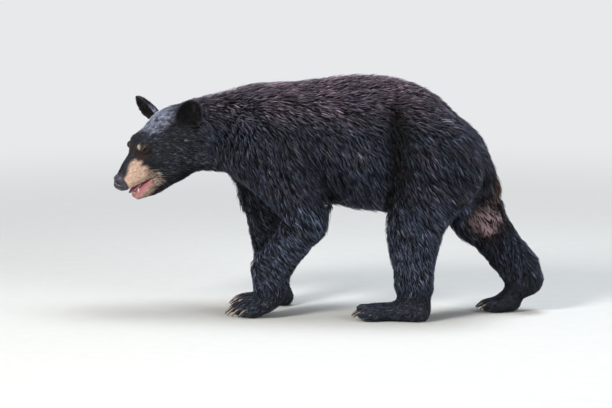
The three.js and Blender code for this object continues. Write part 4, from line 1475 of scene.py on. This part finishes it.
LIMBS = ("upper_arm", "forearm", "paw", "thigh", "shank", "foot")
GUARD = 0.32  # share of the tufts that are long outer hair, paler and standing higher than the rest
STRAY = 0.04  # share that stands out beyond the coat
COAT_SHADE = np.array([0.3, 0.8, 1.6])  # a tuft's tone at its root, middle and tip: painted shade, darker inside the coat where the hair shades it
# the same painted shade on the face, shallower
FACE_SHADE = np.array([0.75, 0.95, 1.1])
SHORT = 14  # millimetres; shorter tufts are straight
BENT = {  # a three-sided spike with a bend; places are each corner's in the tuft's patch
    "faces": ((0, 1, 4, 3), (1, 2, 5, 4), (2, 0, 3, 5), (0, 2, 1), (3, 4, 6), (4, 5, 6), (5, 3, 6)),
    "places": ((0, 0), (1, 0), (0.5, 0.3), (0.1, 0.6), (0.9, 0.6), (0.5, 0.75), (0.5, 1)),
    "level": (0, 0, 0, 1, 1, 1, 2),
}
STRAIGHT = {
    "faces": ((0, 2, 1), (0, 1, 3), (1, 2, 3), (2, 0, 3)),
    "places": ((0, 0), (1, 0), (0.5, 0.3), (0.5, 1)),
    "level": (0, 0, 0, 2),
}
PATCH = 0.003  # breadth of one tuft's patch of the unwrap
ACROSS = ((-0.5, 0.0), (0.5, 0.0), (0.0, 0.42))  # a tuft's section, sideways and raised


def tuft_points(tufts, chosen, shape):
    """Corners of the chosen tufts, one row of points for each."""
    roots, middles, tips = (tufts[key][chosen] for key in ("roots", "middles", "tips"))
    out = tufts["normals"][chosen]
    across = unit(np.cross(tips - roots, out))
    width = rows(tufts["width"][chosen])
    points = [roots + across * width * sideways + out * width * raised for sideways, raised in ACROSS]
    if shape is BENT:
        for sideways, raised in ACROSS:
            points.append(middles + (across * width * sideways + out * width * raised) * 0.85)
    return np.stack([*points, tips], axis=1)


def tuft_mesh(name, tufts, chosen, patches):
    """One mesh of closed three-sided spikes: bent ones where the hair is long, straight where it is short."""
    long = tufts["length"][chosen] > SHORT * MM
    points, loops, sizes, colours, places = [], [], [], [], []
    start = 0
    for shape, mine in ((BENT, long), (STRAIGHT, ~long)):
        group = chosen[mine]
        corners = tuft_points(tufts, group, shape)
        count, width = corners.shape[:2]
        order = np.concatenate([np.array(face) for face in shape["faces"]])
        numbers = start + np.arange(count)[:, None] * width + order[None, :]
        fine = rows(tufts["fine"][group])
        shade = COAT_SHADE * (1 - fine) + FACE_SHADE * fine
        tone = rows(tufts["tone"][group]) * shade[:, list(shape["level"])]
        spread = (np.array(shape["places"]) - 0.5) * PATCH
        points.append(corners.reshape(-1, 3))
        loops.append(numbers.ravel())
        sizes.append(np.tile([len(face) for face in shape["faces"]], count))
        colours.append((tufts["colours"][group][:, None, :] * tone[:, :, None]).reshape(-1, 3))
        places.append((patches[mine][:, None, :] + spread[order][None, :, :]).reshape(-1, 2))
        start += count * width
    joined = (np.concatenate(part) for part in (points, loops, sizes, colours, places))
    points, loops, sizes, colours, places = joined
    mesh = bpy.data.meshes.new(name)
    mesh.vertices.add(len(points))
    mesh.loops.add(len(loops))
    mesh.polygons.add(len(sizes))
    mesh.vertices.foreach_set("co", points.ravel())
    mesh.loops.foreach_set("vertex_index", loops.astype(np.int32))
    mesh.polygons.foreach_set("loop_start", np.r_[0, np.cumsum(sizes)[:-1]].astype(np.int32))
    mesh.update(calc_edges=True)
    mesh.shade_smooth()
    keep_values(mesh, "markings", "FLOAT_COLOR", with_alpha(np.clip(colours, 0, 1)))
    layer = mesh.uv_layers.new(name="OFBake")
    layer.data.foreach_set("uv", np.clip(places, 0, 1).astype(np.float32).ravel())
    return mesh


def skin_unwraps():
    """For each coat piece, a coarse copy of its stretch of the skin, unwrapped over the whole square."""
    skin = bpy.data.objects["skin"]
    coarse = new_object("skin_unwrap", skin.data.copy())
    apply_modifier(coarse, "DECIMATE", ratio=0.12)
    mesh = coarse.data
    mesh.calc_loop_triangles()
    corners = np.empty(len(mesh.loop_triangles) * 3, dtype=np.int64)
    mesh.loop_triangles.foreach_get("vertices", corners)
    triangles = corners.reshape(-1, 3)
    points = points_of(mesh)
    centres = points[triangles].mean(axis=1)
    parts = kept(mesh, "part", "value", 1).astype(int)[triangles[:, 0]]
    numbers = piece_numbers(centres, parts)
    unwraps = []
    for i, name in enumerate(COAT_PIECES):
        mine = triangles[numbers == i]
        used, packed = np.unique(mine, return_inverse=True)
        patch = new_object(name + "_unwrap", mesh_from(name, points[used], packed.reshape(-1, 3).tolist()))
        select_only(patch)
        bpy.ops.object.mode_set(mode="EDIT")
        bpy.ops.mesh.select_all(action="SELECT")
        bpy.ops.uv.smart_project(angle_limit=radians(66), island_margin=0.004)
        bpy.ops.object.mode_set(mode="OBJECT")
        uv = read(patch.data.uv_layers.active.data, "uv", 2).reshape(-1, 3, 2)
        order = np.empty(len(patch.data.loops), dtype=np.int64)
        patch.data.loops.foreach_get("vertex_index", order)
        local = points_of(patch.data)
        corners = order.reshape(-1, 3)
        tree = BVHTree.FromPolygons([Vector(p) for p in local], corners.tolist())
        unwraps.append((tree, local[corners], uv))
        bpy.data.objects.remove(patch)
    bpy.data.objects.remove(coarse)
    return unwraps


def unwrapped(places, unwrap):
    """The unwrap's coordinates at the skin nearest to each place."""
    tree, corners, uv = unwrap
    found = [tree.find_nearest(place) for place in places]
    hits = np.array([hit for hit, _, _, _ in found])
    index = np.array([number for _, _, number, _ in found])
    a, b, c = (corners[index, k] for k in range(3))
    areas = [np.linalg.norm(np.cross(q - hits, r - hits), axis=1) for q, r in ((b, c), (c, a), (a, b))]
    total = np.maximum(sum(areas), 1e-12)
    result = sum(rows(area / total) * uv[index, k] for k, area in enumerate(areas))
    return np.clip(result, 0.002, 0.998)


def build_coat():
    skin = bpy.data.objects["skin"]
    rng = np.random.default_rng(SEED)
    sampler = SkinSampler(skin.data)
    tufts = grow_tufts(sampler, rng)
    numbers = piece_numbers(tufts["roots"], tufts["parts"])
    unwraps = skin_unwraps()
    material = hair_material()
    for i, name in enumerate(COAT_PIECES):
        chosen = np.flatnonzero(numbers == i)
        patches = unwrapped(tufts["roots"][chosen], unwraps[i])
        coat = new_object(name, tuft_mesh(name, tufts, chosen, patches))
        dress(coat, material, "coat")


# ------------------------------------------------------------------ the studio
def build_stage(settings):
    """A pale floor, soft lamps and the camera."""
    deselect()
    bpy.ops.mesh.primitive_circle_add(vertices=96, radius=40, fill_type="NGON", location=(0, 0, 0))
    floor = bpy.context.object
    floor.name = "studio_floor"
    floor.data.materials.append(floor_material(settings.floor_colour))

    world = bpy.data.worlds.new("studio_world")
    bpy.context.scene.world = world
    world.use_nodes = True
    tree = world.node_tree
    tree.nodes.clear()
    sky = add_node(tree, "ShaderNodeBackground", Color=(0.86, 0.92, 1.0, 1), Strength=settings.sky)
    pale = add_node(tree, "ShaderNodeBackground", Color=(*PAPER, 1), Strength=1.0)
    direct = seen_directly(tree)
    mix = add_node(tree, "ShaderNodeMixShader", in0=direct, in1=sky.outputs[0], in2=pale.outputs[0])
    output = tree.nodes.new("ShaderNodeOutputWorld")
    tree.links.new(mix.outputs[0], output.inputs["Surface"])

    aim = Vector((0, 0, 0.3))
    for name, place, size, power, colour in (
        ("key_softbox", (-2.6, -4.2, 3.4), 1.6, settings.key, (1.0, 0.985, 0.96)),
        ("top_softbox", (0.6, 0.5, 3.6), 2.0, settings.key * 0.38, (0.84, 0.91, 1.0)),
        ("side_softbox", (3.2, -2.2, 1.8), 1.5, settings.key * 0.2, (0.92, 0.96, 1.0)),
    ):
        lamp = bpy.data.lights.new(name, "AREA")
        lamp.energy = power
        lamp.size = size
        lamp.color = colour
        holder = new_object(name, lamp)
        holder.location = place
        holder.rotation_euler = (aim - holder.location).to_track_quat("-Z", "Y").to_euler()

    azimuth, elevation = settings.azimuth, settings.elevation
    right = Vector((cos(azimuth), sin(azimuth), 0))
    up = Vector((-sin(azimuth) * sin(elevation), cos(azimuth) * sin(elevation), cos(elevation)))
    backwards = Vector((sin(azimuth) * cos(elevation), -cos(azimuth) * cos(elevation), sin(elevation)))
    target = Vector(MODEL_ORIGIN) + right * FRAMING[0] + up * FRAMING[1]
    lens = bpy.data.cameras.new("camera")
    lens.lens = 300
    lens.clip_end = 200
    camera = new_object("camera", lens)
    camera.location = target + backwards * settings.distance
    camera.rotation_euler = (-backwards).to_track_quat("-Z", "Y").to_euler()
    turn = Matrix((right, up, backwards)).transposed()
    camera.rotation_euler = turn.to_euler()
    bpy.context.scene.camera = camera
    bpy.context.scene.view_settings.view_transform = "Standard"


MODEL_ORIGIN = (-0.0026, -0.0006, -0.0002)  # the bear's own origin, on the floor
FRAMING = (-0.0572, 0.2821)  # from that origin to the middle of the view, right and up


# ------------------------------------------------------------------ the add-on
class BearSettings(bpy.types.PropertyGroup):
    """Sizes and colours that a user would change."""

    floor_colour: FloatVectorProperty(
        name="Floor",
        description="Colour of the studio floor",
        subtype="COLOR",
        default=linear(0xDAD8D3),
        min=0,
        max=1,
    )
    sky: FloatProperty(name="Sky", description="Strength of the light from all round", default=0.16, min=0)
    key: FloatProperty(
        name="Lamps", description="Power of the main softbox", default=300, min=0, unit="POWER"
    )
    azimuth: FloatProperty(
        name="Azimuth", description="Camera's turn round the bear", default=radians(9), subtype="ANGLE"
    )
    elevation: FloatProperty(
        name="Elevation", description="Camera's height angle", default=radians(8.5), subtype="ANGLE"
    )
    distance: FloatProperty(
        name="Distance", description="Camera to bear", default=13.26, min=1, unit="LENGTH"
    )


class BEAR_OT_stage(bpy.types.Operator):
    """Add the studio floor, lamps and camera"""

    bl_idname = "bear.stage"
    bl_label = "Studio"

    def execute(self, context):
        build_stage(context.scene.bear)
        return {"FINISHED"}


class BEAR_OT_skin(bpy.types.Operator):
    """Build the skin that lies inside the solids by the coat's depth"""

    bl_idname = "bear.skin"
    bl_label = "Skin"

    def execute(self, context):
        build_skin()
        return {"FINISHED"}


class BEAR_OT_nose(bpy.types.Operator):
    """Build the nose leather with its nostrils"""

    bl_idname = "bear.nose"
    bl_label = "Nose"

    def execute(self, context):
        build_nose()
        return {"FINISHED"}


class BEAR_OT_eyes(bpy.types.Operator):
    """Build both eyeballs"""

    bl_idname = "bear.eyes"
    bl_label = "Eyes"

    def execute(self, context):
        build_eyes()
        return {"FINISHED"}


class BEAR_OT_mouth(bpy.types.Operator):
    """Build the tongue and the lower teeth"""

    bl_idname = "bear.mouth"
    bl_label = "Tongue and teeth"

    def execute(self, context):
        build_tongue()
        build_teeth()
        return {"FINISHED"}


class BEAR_OT_claws(bpy.types.Operator):
    """Build the twenty claws"""

    bl_idname = "bear.claws"
    bl_label = "Claws"

    def execute(self, context):
        build_claws()
        return {"FINISHED"}


class BEAR_OT_coat(bpy.types.Operator):
    """Grow the coat's tufts over the skin"""

    bl_idname = "bear.coat"
    bl_label = "Coat"

    def execute(self, context):
        build_coat()
        return {"FINISHED"}


class BEAR_PT_panel(bpy.types.Panel):
    """Lists the bear's pieces"""

    bl_idname = "BEAR_PT_panel"
    bl_label = "Young black bear"
    bl_space_type = "VIEW_3D"
    bl_region_type = "UI"
    bl_category = "Bear"

    def draw(self, context):
        for name in ("floor_colour", "sky", "key", "azimuth", "elevation", "distance"):
            self.layout.prop(context.scene.bear, name)
        for operator in OPERATORS:
            self.layout.operator(operator.bl_idname)


OPERATORS = (
    BEAR_OT_stage,
    BEAR_OT_skin,
    BEAR_OT_nose,
    BEAR_OT_eyes,
    BEAR_OT_mouth,
    BEAR_OT_claws,
    BEAR_OT_coat,
)
CLASSES = (BearSettings, *OPERATORS, BEAR_PT_panel)


def register():
    for cls in CLASSES:
        bpy.utils.register_class(cls)
    bpy.types.Scene.bear = PointerProperty(type=BearSettings)


def unregister():
    del bpy.types.Scene.bear
    for cls in reversed(CLASSES):
        bpy.utils.unregister_class(cls)


def main():
    register()
    bpy.ops.bear.stage()
    bpy.ops.bear.skin()
    bpy.ops.bear.nose()
    bpy.ops.bear.eyes()
    bpy.ops.bear.mouth()
    bpy.ops.bear.claws()
    bpy.ops.bear.coat()


if __name__ == "__main__":
    main()
